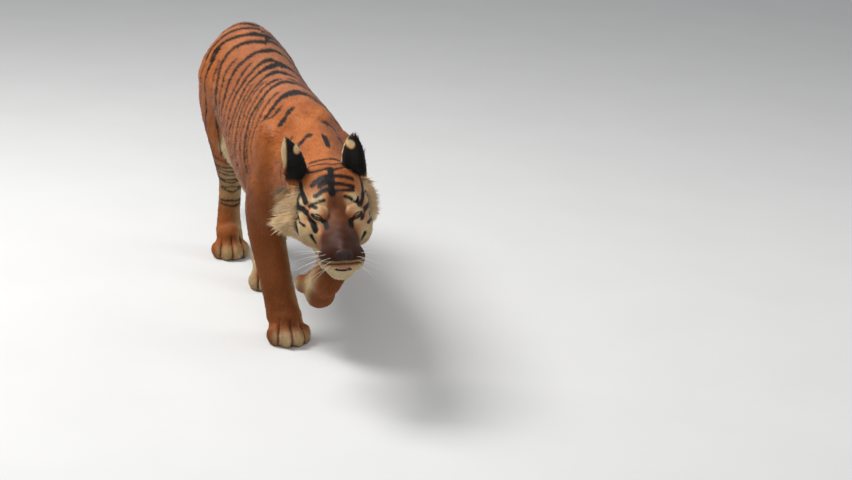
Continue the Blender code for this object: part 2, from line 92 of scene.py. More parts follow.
def read(mesh):
    """Points, normals and edges of a mesh as arrays."""
    points, normals = np.empty(len(mesh.vertices) * 3), np.empty(len(mesh.vertices) * 3)
    edges = np.empty(len(mesh.edges) * 2, int)
    mesh.vertices.foreach_get("co", points)
    mesh.vertices.foreach_get("normal", normals)
    mesh.edges.foreach_get("vertices", edges)
    return points.reshape(-1, 3), normals.reshape(-1, 3), edges.reshape(-1, 2)


def write(mesh, points):
    mesh.vertices.foreach_set("co", points.ravel())
    mesh.update()


def spread(values, edges, passes, pull=0.5, push=0.0):
    """Evens out values over a mesh; with push, the form's bulk is kept while its facets go."""
    a, b = edges.T
    count = np.maximum(np.bincount(a, minlength=len(values)) + np.bincount(b, minlength=len(values)), 1)
    values = values.copy()
    flat = values.reshape(len(values), -1)
    for _ in range(passes):
        for share in (pull, push) if push else (pull,):
            for k in range(flat.shape[1]):
                column = flat[:, k]
                total = np.bincount(a, column[b], len(column)) + np.bincount(b, column[a], len(column))
                flat[:, k] += share * (total / count - column)
    return values


def unit(vectors):
    return vectors / np.maximum(np.linalg.norm(vectors, axis=-1, keepdims=True), 1e-12)


node_names = list(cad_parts)
all_verts, all_faces, face_owner = [], [], []
for number, name in enumerate(node_names):
    start = len(all_verts)
    all_verts += [v.co.copy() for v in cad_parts[name].data.vertices]
    all_faces += [[start + i for i in p.vertices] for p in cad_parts[name].data.polygons]
    face_owner += [number] * (len(all_faces) - len(face_owner))
solid_tree = BVHTree.FromPolygons(all_verts, all_faces)
# the eyes, nose and tongue are set in the head, and the ruffs grow from it
own_flesh = [node_names.index("head") if n.startswith(("eye", "nose", "tongue", "ruff")) else number
             for number, n in enumerate(node_names)]


def owners(points):
    """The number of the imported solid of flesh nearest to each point."""
    return np.array([own_flesh[face_owner[solid_tree.find_nearest(Vector(p))[2]]] for p in points])


def per_node(table, default, owner):
    """A value for each point from a table keyed by node name or by its last word."""
    row = np.array([table.get(n, table.get(n.split("_")[-1], default)) for n in node_names], float)
    return row[owner]


hide_mesh = gridded(joined(FLESH + FEATURES, SEAM_COVER), HIDE_GRID)
points, _, edges = read(hide_mesh)
write(hide_mesh, spread(points, edges, 50, KEEP, RESTORE))
points, normals, edges = read(hide_mesh)
owner = owners(points)
depth = spread(per_node(FUR_DEPTH, OUTSIDE_DEPTH, owner), edges, 25) / 1000
write(hide_mesh, points - normals * depth[:, None])

# ---- The head's form ----
# The head is carved in the form before the hide is glued on: heavy cheeks and whisker pads, brows,
# lids drawn nearly shut over the eyes, lips with a thin dark edge, and a deep square chin.
EYE_OFFSET = Vector((0.0, -0.021, 0.001))
EYE_SPREAD = 0.0465  # from the middle of the head to the middle of each eye
EYE_RADIUS, LID = 0.0157, 0.0019
LID_SLOPE = 0.70  # the lids' dome falls away more gently than the eyeball, by this share
SLIT_HALF_WIDTH, SLIT_DROP, SLIT_BOW = 0.0165, 0.0042, 0.0016
HEAD_TURN = (3.0, -3.0, -4.5)  # pitch, roll and yaw, degrees


def middle(name):
    low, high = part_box(name)
    return (low + high) / 2


turn = (Matrix.Rotation(math.radians(HEAD_TURN[2]), 3, "Z")
        @ Matrix.Rotation(math.radians(HEAD_TURN[0]), 3, "X")
        @ Matrix.Rotation(math.radians(HEAD_TURN[1]), 3, "Y"))
between_eyes = (middle("eye_left") + middle("eye_right")) / 2
head_rows = np.array(turn)
head_origin = np.array(between_eyes - turn @ EYE_OFFSET)


def to_head(points):
    """From the room's axes to the head's own: x to its left, -y forward, z up, from the brow's root."""
    return (points - head_origin) @ head_rows


def from_head(points):
    return np.asarray(points, float) @ head_rows.T + head_origin


def refined(mesh, chosen):
    """Splits each chosen face, given as a function of face middles, into four."""
    bm = bmesh.new()
    bm.from_mesh(mesh)
    bm.faces.ensure_lookup_table()
    middles = np.array([f.calc_center_median() for f in bm.faces])
    picked = set()
    for index in np.flatnonzero(chosen(middles)):
        picked.update(bm.faces[index].edges)
    bmesh.ops.subdivide_edges(bm, edges=list(picked), cuts=1, use_grid_fill=True)
    bm.to_mesh(mesh)
    bm.free()
    points, _, edges = read(mesh)
    near = chosen(points)
    eased = spread(points, edges, 2)
    points[near] = eased[near]
    write(mesh, points)


def in_face(p):
    q = to_head(p)
    return (np.abs(q[:, 0]) < 0.12) & (q[:, 1] < 0.03) & (q[:, 2] > -0.17) & (q[:, 2] < 0.09)


def in_features(p):
    q = to_head(p)
    side = np.abs(q[:, 0])
    eye = np.sqrt((side - 0.0465) ** 2 + (q[:, 1] + 0.021) ** 2 + (q[:, 2] - 0.001) ** 2) < 0.034
    mouth = (q[:, 1] < -0.095) & (q[:, 2] < -0.04)
    return eye | mouth


paw_boxes = [tuple(np.array(c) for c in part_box(n)) for n in node_names if n.endswith("_paw")]


def in_paws(p):
    hit = np.zeros(len(p), bool)
    for low, high in paw_boxes:
        hit |= ((p > low - 0.006) & (p < high + 0.006)).all(1)
    return hit


refined(hide_mesh, lambda p: in_face(p) | in_paws(p))
refined(hide_mesh, in_features)


def bump(q, place, radii, height):
    """How far each point is raised by a soft round swelling, in metres."""
    away = (q - np.array(place) / 1000) / (np.array(radii) / 1000)
    return height / 1000 * np.exp(-(away ** 2).sum(1))


def both_sides(q):
    """The head's points with the left half folded on to the right."""
    folded = q.copy()
    folded[:, 0] = np.abs(folded[:, 0])
    return folded


CARVING = (  # place, radii and height in millimetres, in the head's axes, alike on both sides
    ((34, -120, -78), (24, 32, 25), 8.0),   # whisker pads
    ((0, -134, -134), (28, 25, 18), 2.5),   # chin
    ((0, -100, -26), (26, 38, 24), 6.5),    # height of the muzzle
    ((0, -140, -44), (22, 16, 12), 4.0),    # root of the nose
    ((72, -6, -52), (26, 40, 34), 5.5),     # cheeks
    ((40, 12, 34), (22, 26, 14), 4.0),      # brows
    ((0, 10, 60), (12, 50, 30), -2.0),      # furrow of the forehead
    ((0, -70, -14), (15, 44, 24), 3.0),     # bridge of the nose
    ((26, -56, -22), (12, 24, 14), -3.0),   # hollow before the eye
    ((0, -150, -84), (4, 14, 10), -3.0),    # groove under the nose
)
points, normals, edges = read(hide_mesh)
q = both_sides(to_head(points))
rise = sum(bump(q, *swelling) for swelling in CARVING)
rise[to_head(points)[:, 1] > 0.12] = 0
write(hide_mesh, points + normals * rise[:, None])


def soft_step(x, low, high):
    t = np.clip((x - low) / (high - low), 0, 1)
    return t * t * (3 - 2 * t)


def carve_eye(mesh, side):
    """Draws the lids over one eyeball and leaves the slit; returns the gaze and the slit's axes."""
    points, _, _ = read(mesh)
    centre = from_head([side * EYE_SPREAD, *EYE_OFFSET[1:]])
    gaze = unit(from_head([side * 0.42, -0.86, 0.30]) - head_origin)
    slant = from_head([-side * 0.88, -0.42, -0.34]) - head_origin
    slant = unit(slant - gaze * (slant @ gaze))
    up = np.cross(gaze, slant)
    up = up * np.sign(up @ (from_head([0, 0, 1]) - head_origin))
    away = points - centre
    ahead, across, height = away @ gaze, away @ slant, away @ up
    span = np.hypot(across, height)
    lid = EYE_RADIUS + LID
    dome = np.sqrt(np.maximum(lid ** 2 - (LID_SLOPE * span) ** 2, 0)) - 0.0012 * soft_step(span, 0.0, 0.016)
    near = (span < 0.030) & (ahead > -0.012)
    lid = lid / LID_SLOPE
    soft = 0.0025
    raised = soft * np.logaddexp(ahead / soft, np.where(span < lid, dome, -0.01) / soft)
    raised = np.where(span < lid, raised, np.maximum(ahead, raised - soft * math.log(2)))
    along = np.clip(across / SLIT_HALF_WIDTH, -1, 1)
    slit_middle = -SLIT_DROP - SLIT_BOW * (1 - along ** 2)
    slit_half = 0.0019 * np.sqrt(1 - along ** 2)
    gap = np.abs(height - slit_middle) - slit_half
    fold = np.exp(-((height - slit_middle - slit_half - 0.0062) / 0.0016) ** 2) * (np.abs(across) < 0.015)
    raised -= 0.0014 * fold * near
    ball = np.sqrt(np.maximum(EYE_RADIUS ** 2 - span ** 2, 0))
    raised = np.where((gap < 0) & (np.abs(across) < 0.0160), np.minimum(raised, ball - 0.0045), raised)
    points[near] += gaze * (raised - ahead)[near, None]
    write(mesh, points)
    return centre, gaze, slant, up


eyes = {side: carve_eye(hide_mesh, side) for side in (-1, 1)}

MOUTH_LINE = ((0, -158, -96), (22, -152, -98), (40, -128, -104), (52, -96, -108), (58, -62, -106))


def beside(q, line, reach=1.0):
    """Distance of each point from a line of places given in millimetres, in metres."""
    best = np.full(len(q), reach)
    line = np.array(line) / 1000
    for a, b in zip(line[:-1], line[1:]):
        t = np.clip(((q - a) @ (b - a)) / ((b - a) @ (b - a)), 0, 1)
        best = np.minimum(best, np.linalg.norm(q - a - t[:, None] * (b - a), axis=1))
    return best


def lip_gap(q):
    """How far above or below the parted front of the lips each point is; negative is in the gap."""
    across = np.clip((q[:, 0] + 0.002) / 0.024, -1, 1)
    return np.abs(q[:, 2] + 0.0975 + 0.002 * across ** 2) - 0.0052 * np.sqrt(1 - across ** 2)


def settled(line, tree):
    """A line of places in the head's axes moved on to the hide."""
    out = []
    for place in line:
        spot = tree.find_nearest(Vector(from_head(np.array(place) / 1000)))[0]
        out.append(to_head(np.array(spot)[None])[0] * 1000)
    return out


def tree_of(mesh):
    return BVHTree.FromPolygons([v.co for v in mesh.vertices], [p.vertices[:] for p in mesh.polygons])


face_tree = tree_of(hide_mesh)
lips = settled(MOUTH_LINE, face_tree)
points, normals, edges = read(hide_mesh)
q = to_head(points)
fold = beside(both_sides(q), lips)
press = -0.0035 * np.exp(-(fold / 0.0028) ** 2) + 0.0016 * np.exp(-((fold - 0.007) / 0.004) ** 2)
opened = (lip_gap(q) < 0) & (q[:, 1] < -0.11) & (np.abs(q[:, 0] + 0.002) < 0.024)
press[opened] = -0.013
press[q[:, 1] > 0.0] = 0
write(hide_mesh, points + normals * press[:, None])

# ---- The paws' form ----
# Four toes on each foot, parted by furrows over the top and front, with the claws drawn in. The raised
# paw hangs from its wrist and shows the bare pads beneath.
RAISED_TURN = (150.0, 4.0)  # bend at the wrist and heading, degrees
PAW_FRONT, RAISED_WIDTH = 0.086, 0.118
raised_turn = (Matrix.Rotation(math.radians(RAISED_TURN[1]), 3, "Z")
               @ Matrix.Rotation(math.radians(RAISED_TURN[0]), 3, "X"))
raised_wrist = Vector((middle("fore_left_paw").x, -0.475, 0.196))
paw_places = []  # the middle of each sole's front edge, its axes and the paw's width
for low, high in paw_boxes:
    if low[2] < 0.05:
        front = np.array([(low[0] + high[0]) / 2, low[1], low[2]])
        paw_places.append((front, np.eye(3), high[0] - low[0], False))
    else:
        front = raised_wrist + raised_turn @ Vector((0, -PAW_FRONT, -0.040))
        paw_places.append((np.array(front), np.array(raised_turn), RAISED_WIDTH, True))
TOES = ((-0.36, 0.038), (-0.13, 0.020), (0.13, 0.020), (0.36, 0.038))  # share of the width, set back
TOE_GAPS = (-0.245, 0.0, 0.245)  # share of the paw's width


def pads(points):
    """The bare pads under the raised paw, from 0 to 1."""
    out = np.zeros(len(points))
    for front, axes, width, raised in paw_places:
        if not raised:
            continue
        p = (points - front) @ axes
        under = (p[:, 2] < 0.020) & (p[:, 2] > -0.03)
        out = np.maximum(out, under * (np.hypot(p[:, 0] / 0.030, (p[:, 1] - 0.088) / 0.022) < 1))
        for share, back in TOES:
            near = np.hypot((p[:, 0] - share * width) / 0.0105, (p[:, 1] - back - 0.006) / 0.014) < 1
            out = np.maximum(out, under * near)
    return out


def furrows(points):
    """The grooves between the toes, over their tops and down their fronts, from 0 to 1."""
    out = np.zeros(len(points))
    for front, axes, width, raised in paw_places:
        p = (points - front) @ axes
        near = (np.abs(p[:, 0]) < width * 0.6) & (p[:, 1] > -0.01) & (p[:, 1] < 0.08)
        near &= (p[:, 2] > -0.01) & (p[:, 2] < 0.075)
        reach = 1 - soft_step(p[:, 1], 0.052, 0.070)
        reach = reach * (1.0 if raised else soft_step(p[:, 2], 0.004, 0.014))
        for share in TOE_GAPS:
            line_x = share * width * (1 + 0.5 * (0.05 - p[:, 1]).clip(0) / 0.05)
            out = np.maximum(out, np.exp(-((p[:, 0] - line_x) / 0.0042) ** 2) * near * reach)
    return out


points, normals, edges = read(hide_mesh)
PAD_HEIGHT, FURROW_DEPTH, SOLE_CLEARANCE = 0.003, 0.0075, 0.0012
points = points + normals * (PAD_HEIGHT * pads(points) - FURROW_DEPTH * furrows(points))[:, None]
points[:, 2] = np.maximum(points[:, 2], SOLE_CLEARANCE)
write(hide_mesh, points)

# ---- The ears' form ----
# Two rounded shells of gristle and thin hide, turned so that their black backs face forward.
EAR_FUR_DEPTH = 0.0020
ear_meshes = []
for name in ("ear_left", "ear_right"):
    ear = gridded(joined([name], 0.0), EAR_GRID)
    points, normals, edges = read(ear)
    points = spread(points, edges, 12, KEEP, RESTORE)
    write(ear, points)
    points, normals, edges = read(ear)
    write(ear, points - normals * EAR_FUR_DEPTH)
    ear_meshes.append(ear)
whole = bmesh.new()
whole.from_mesh(hide_mesh)
for ear in ear_meshes:
    whole.from_mesh(ear)
whole.to_mesh(hide_mesh)
whole.free()
for polygon in hide_mesh.polygons:
    polygon.use_smooth = True
hide_mesh.update()
hide = bpy.data.objects.new("hide", hide_mesh)
bpy.context.scene.collection.objects.link(hide)
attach(hide, "root")
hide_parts(*FLESH, "ear_left", "ear_right")

# ---- The markings ----
# Rust orange over the back and sides, cream beneath and on the face, and black stripes: rings down
# the flanks, bars on the hocks, arcs on the cheeks. Painted shade darkens the forelegs and the furrows
# between the toes, and a painted sheen greys the back. The same rule colours the hide and every lock.
STRIPES = (  # place along the back in metres, half width in mm, first and last angle from the spine
    (0.520, 4.0, 0.10, 1.1), (0.480, 4.5, 0.00, 1.4), (0.437, 4.5, 0.05, 1.7), (0.395, 5.0, 0.00, 1.9),
    (0.352, 5.0, 0.00, 2.0), (0.308, 5.5, 0.00, 2.0), (0.262, 6.0, 0.00, 2.2), (0.236, 3.8, 0.50, 1.9),
    (0.211, 6.0, 0.00, 2.3), (0.176, 4.4, 0.35, 2.1), (0.144, 6.0, 0.00, 2.4), (0.106, 6.0, 0.00, 2.3),
    (0.080, 4.2, 0.45, 2.0), (0.050, 5.6, 0.00, 2.4), (0.020, 4.0, 0.30, 1.7), (-0.017, 4.8, 0.10, 2.1),
    (-0.060, 7.5, 0.00, 2.4), (-0.090, 4.2, 0.55, 2.3), (-0.130, 4.4, 0.25, 2.0), (-0.180, 8.5, 0.00, 1.3),
    (-0.222, 3.6, 0.75, 2.0),
)
FACE_LINES = (  # half width and places in millimetres, in the head's axes
    (3.4, (-52, 150, 97), (-36, 140, 104), (-14, 132, 108), (11, 136, 109)),
    (4.6, (6, 136, 110), (32, 142, 104), (56, 150, 92)),
    (3.0, (-58, 128, 84), (-39, 115, 96), (-19, 107, 103), (-1, 100, 103)),
    (2.8, (2, 95, 102), (25, 108, 100), (50, 120, 86)),
    (3.8, (-69, 103, 80), (-51, 80, 89), (-30, 74, 96), (-11, 76, 100)),
    (3.4, (-2, 67, 97), (24, 78, 97), (54, 104, 88)),
    (7.0, (-3, 74, 100), (-5, 45, 87), (-9, 19, 69), (-8, 3, 55)),
    (5.6, (-7, 49, 89), (-29, 46, 86), (-48, 42, 77), (-57, 37, 68)),
    (3.6, (-7, 31, 78), (-24, 26, 73), (-40, 25, 66)),
    (6.0, (-12, 15, 65), (-33, 13, 58), (-50, 8, 47)), (4.6, (-10, 38, 84), (-26, 33, 79), (-38, 30, 74)),
    (5.6, (1, 48, 89), (24, 46, 86), (51, 47, 78)), (4.6, (-3, 26, 75), (24, 24, 71), (51, 26, 63)),
    (4.0, (-5, 9, 61), (22, 10, 59), (49, 15, 56)),
    (3.4, (-70, 0, 23), (-52, -6, 33), (-31, -7, 40)), (4.0, (-66, -3, 27), (-52, -18, 19)),
    (3.4, (25, -3, 47), (38, -4, 41), (55, -9, 30)), (4.0, (60, 4, 40), (56, -16, 20)),
    (6.4, (-98, 50, 36), (-103, 46, 4), (-101, 42, -28), (-95, 30, -48), (-84, 10, -58)),
    (5.6, (-83, 93, 64), (-84, 60, 53), (-81, 35, 39), (-76, 15, 29)),
    (6.2, (-94, 44, 4), (-84, 14, 8), (-74, -7, 4), (-66, -28, -11), (-59, -48, -27)),
    (3.2, (-96, 46, -14), (-92, 15, -26), (-84, -20, -24)), (4.0, (-71, -44, -44), (-59, -48, -60)),
    (4.9, (78, 85, 66), (80, 58, 56), (79, 35, 42), (72, 9, 29), (63, -10, 20)),
    (5.6, (96, 50, 36), (101, 46, 4), (99, 40, -28), (91, 26, -48)),
    (5.4, (92, 37, 7), (75, -4, 5), (63, -28, -8)), (3.2, (94, 44, -16), (88, 10, -28), (78, -22, -26)),
    (4.0, (71, -44, -44), (59, -48, -60)),
    (5.2, (-37, -35, -2), (-33, -47, -7), (-34, -63, -15)),
    (5.0, (37, -35, -2), (33, -47, -7), (34, -61, -15)),
)
THIGH_LINES = (  # half width in mm, then places as distance along the body and height, in metres
    (8.0, (0.372, 0.690), (0.352, 0.60), (0.348, 0.50), (0.372, 0.42), (0.398, 0.34)),
    (8.0, (0.330, 0.680), (0.292, 0.60), (0.286, 0.50), (0.300, 0.42), (0.330, 0.36)),
    (5.5, (0.415, 0.680), (0.402, 0.60), (0.404, 0.52), (0.424, 0.44)),
    (5.5, (0.462, 0.650), (0.456, 0.56), (0.462, 0.46), (0.474, 0.38)),
    (4.5, (0.510, 0.630), (0.512, 0.56), (0.512, 0.48)),
    (4.0, (0.258, 0.520), (0.256, 0.45), (0.276, 0.38)),
)
LEFT_THIGH_FORWARD = 0.082  # how far the left hind leg swings ahead of the right, metres
HOCK_BARS = (0.345, 0.322, 0.301, 0.279, 0.256, 0.235, 0.213, 0.190, 0.165, 0.148)
side_of = {"left": 1.0, "right": -1.0}
trunk_low, trunk_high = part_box("trunk")
axis_x, axis_z = (trunk_low.x + trunk_high.x) / 2, (trunk_low.z + trunk_high.z) / 2 - 0.02
face_tree = tree_of(hide_mesh)
face_lines = [(half, settled(line, face_tree)) for half, *line in FACE_LINES]
owner_word = np.array([n.split("_")[-1] if n.split("_")[-1] not in ("left", "right") else n.split("_")[0]
                       for n in node_names])
owner_side = np.array([next((side_of[w] for w in n.split("_") if w in side_of), 0.0) for n in node_names])
hind_node = np.array([n.startswith("hind") for n in node_names])


def in_line(distance, half, edge=0.0012):
    return 1 - soft_step(distance, half - edge, half + edge)


def flat_line(u, v, line):
    """Distance of each point (u, v) from a line of places in the same plane, in metres."""
    best = np.full(len(u), 1.0)
    line = np.array(line)
    p = np.stack([u, v], 1)
    for a, b in zip(line[:-1], line[1:]):
        t = np.clip(((p - a) @ (b - a)) / ((b - a) @ (b - a)), 0, 1)
        best = np.minimum(best, np.linalg.norm(p - a - t[:, None] * (b - a), axis=1))
    return best


def black_hair(points, normals, owner):
    """How black the hair is at each point of the hide, from 0 to 1."""
    x, y, z = points.T
    word, side, hind = owner_word[owner], owner_side[owner], hind_node[owner]
    q = to_head(points)
    wave = (np.sin(x * 61 + z * 47 + y * 13) + np.sin(y * 71 - z * 39 + 2)) * 0.5
    ripple = np.sin(z * 180 + y * 60 + x * 90) * 0.5 + np.sin(z * 97 - x * 131 + 1) * 0.5
    angle = np.arctan2(x - axis_x, z - axis_z)
    half_turn = np.abs(angle)
    head = (word == "head") | (word == "jaw")
    body = np.isin(word, ("trunk", "neck", "upper", "thigh"))
    black = np.zeros(len(points))
    # rings round the body
    for number, (place, half, first, last) in enumerate(STRIPES):
        for flank in (-1, 1):
            shift = 0.0 if flank < 0 else 0.009 * math.sin(number * 2.3 + 1)
            reach = last + (0.15 * math.sin(number * 1.7) if flank > 0 else 0)
            back = 0.075 * soft_step(place, 0.17, 0.31) * np.exp(-((half_turn - 0.62) / 0.42) ** 2)
            lean = max(0.0, min(0.16, 0.16 - 0.60 * (place - 0.05)))
            line = place + shift + back - lean * (half_turn / 1.45) ** 1.5
            line += 0.004 * np.sin(half_turn * 7 + number * 2.1 + flank) + 0.002 * wave
            spine = (1.3 if number % 2 else 0.5) * np.exp(-(half_turn / 0.20) ** 2)
            wide = half / 1000 * 1.5 * (1 + 0.15 * ripple) * (1 + spine)
            wide *= soft_step(half_turn, first - 0.12, first + 0.10) if first > 0.02 else 1
            wide *= 1 - soft_step(half_turn, reach - 0.7, reach)
            wide = np.where(word == "upper", wide * soft_step(y, -0.36, -0.24) * 0.8, wide)
            on = in_line(np.abs(y - line), wide, 0.0014) * (wide > 0.0012)
            inside = (word == "trunk") | (word == "upper") | ((word == "thigh") & (z > 0.645))
            black = np.maximum(black, on * inside * (np.sign(angle) * flank >= 0))
    # crescents over the shoulders and blotches on the neck
    for flank, places in ((-1, ((-0.052, -0.330), (-0.072, -0.262), (-0.040, -0.505), (-0.080, -0.440))),
                          (1, ((0.060, -0.230), (0.092, -0.300), (0.048, -0.420), (0.080, -0.480)))):
        for number, (cx, cy) in enumerate(places):
            bow = cy + 10 * (x - cx) ** 2 * (1 if number < 2 else -1) + 0.35 * flank * (cx - x)
            long = 1 - soft_step(np.abs(x - cx), 0.012, 0.034)
            half = (0.013 if number != 1 else 0.009) * long * (1 + 0.3 * ripple)
            drawn = (half > 0.002) * (z > 0.585) * body
            black = np.maximum(black, in_line(np.abs(y - bow), half, 0.0015) * drawn)
    nape_half = 0.0075 * (1 - soft_step(np.abs(y + 0.555), 0.025, 0.05))
    nape = in_line(np.abs(x - 0.010 - 0.004 * wave), nape_half)
    black = np.maximum(black, nape * (z > 0.6) * (word == "neck"))
    ruff_back = (word == "neck") & (z < 0.62)
    for place, half in ((-0.600, 0.006), (-0.545, 0.005), (-0.485, 0.006)):
        band = np.abs(y - place - 0.10 * (z - 0.52) - 0.006 * wave)
        fade = soft_step(half_turn, 0.75, 1.0) * (1 - soft_step(half_turn, 1.7, 2.2))
        black = np.maximum(black, in_line(band, half * fade, 0.0015) * (fade > 0.2) * ruff_back)
    # long stripes down the thighs, bars on the hocks
    thigh = np.isin(word, ("thigh", "shank")) & hind
    mid_y = np.where(side > 0, y + LEFT_THIGH_FORWARD, y)
    for half, *line in THIGH_LINES:
        outer = soft_step(normals[:, 0] * side, -0.1, 0.25)
        near = flat_line(mid_y + 0.004 * wave, z, line)
        wide = half / 1000 * (0.75 + 0.25 * ripple) * soft_step(z, 0.33, 0.42)
        black = np.maximum(black, in_line(near, wide, 0.0016) * thigh * outer * (wide > 0.001))
    hock = np.isin(word, ("shank", "foot")) | ((word == "thigh") & (z < 0.36))
    for number, place in enumerate(HOCK_BARS):
        tilt = 0.010 * math.sin(number * 2.7 + 1)
        slope = 0.16 * (y - 0.42) * (side < 0)
        band = np.abs(z - place - slope - tilt * np.abs(normals[:, 0]) - 0.002 * wave)
        front = soft_step(-normals[:, 1], -0.75, 0.0) if number < 6 else soft_step(-normals[:, 1], 0.0, 0.5)
        half = (0.0042 if number < 6 else 0.0030) * front * (1 + 0.25 * ripple)
        black = np.maximum(black, in_line(band, half, 0.0012) * (half > 0.001) * hock * hind)
    # faint bars inside the upper forelegs
    inner = soft_step(-normals[:, 0] * side, 0.2, 0.6)
    for place in (0.46, 0.42, 0.375, 0.335):
        band = np.abs(z - place - 0.01 * wave)
        black = np.maximum(black, in_line(band, 0.005 * inner, 0.0015) * (word == "upper") * (inner > 0.3))
    # tail: rings that widen towards a black tip
    tail = np.isin(word, ("root", "middle", "end"))
    tail_run = (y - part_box("tail_root")[0].y) + np.maximum(0.5 - z, 0) * 0.9
    ring = np.abs(((tail_run + 0.004 * wave) / 0.052) % 1 - 0.5) * 0.052
    tip = soft_step(y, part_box("tail_end")[1].y - 0.075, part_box("tail_end")[1].y - 0.055)
    black = np.where(tail, np.maximum(in_line(ring, 0.0085, 0.0015), tip), black)
    # face
    strokes = np.zeros(len(points))
    for half, line in face_lines:
        line = np.array(line)
        low, high = line.min(0) / 1000 - 0.02, line.max(0) / 1000 + 0.02
        close = ((q > low) & (q < high)).all(1)
        if close.any():
            near = beside(q[close], line)
            wide = half / 740 * (1 + 0.18 * ripple[close])
            strokes[close] = np.maximum(strokes[close], in_line(near, wide))
    for centre, gaze, slant, up in eyes.values():
        away = points - centre
        across, height = away @ slant, away @ up
        above = height + SLIT_DROP + SLIT_BOW * (1 - np.clip(across / SLIT_HALF_WIDTH, -1, 1) ** 2)
        ends = 1 - soft_step(np.abs(across), 0.015, 0.023)
        rim = in_line(np.abs(above - 0.0012), 0.0046 * ends, 0.001) * (ends > 0.2)
        crease = in_line(np.abs(above - 0.0105 + 30 * across ** 2), 0.0016 * ends, 0.001) * (ends > 0.2)
        strokes = np.maximum(strokes, np.maximum(rim, crease) * (away @ gaze > 0) * (np.abs(above) < 0.03))
    smoke = 0.42 * soft_step(-q[:, 1], 0.050, 0.125) * soft_step(q[:, 2], -0.092, -0.082)
    smoke += 0.40 * np.exp(-((q[:, 0] + 0.002) / 0.016) ** 2 - ((q[:, 1] + 0.004) / 0.026) ** 2)
    smoke *= head
    black = np.where(head | (word == "neck"), np.maximum(black, np.maximum(strokes, smoke)), black)
    # ears: black backs with a pale spot
    ear = word == "ear"
    for name, spot in (("ear_left", (-0.014, 0.045)), ("ear_right", (0.006, 0.040))):
        low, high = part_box(name)
        spot_at = np.array([(low.x + high.x) / 2 + spot[0], low.y, low.z + 0.105])
        facing = soft_step(-normals[:, 1], -0.15, 0.15)
        spotted = 1 - soft_step(np.hypot(x - spot_at[0], z - spot_at[2]), 0.009, 0.013)
        mine = ear & (owner_side[owner] == side_of[name.split("_")[1]])
        high_up = soft_step(z + 0.006 * wave, low.z + 0.008, low.z + 0.022)
        inner_edge = 1.0 if name == "ear_left" else soft_step(x, low.x + 0.011, low.x + 0.017)
        black = np.where(mine, facing * (1 - spotted) * high_up * inner_edge, black)
    return black


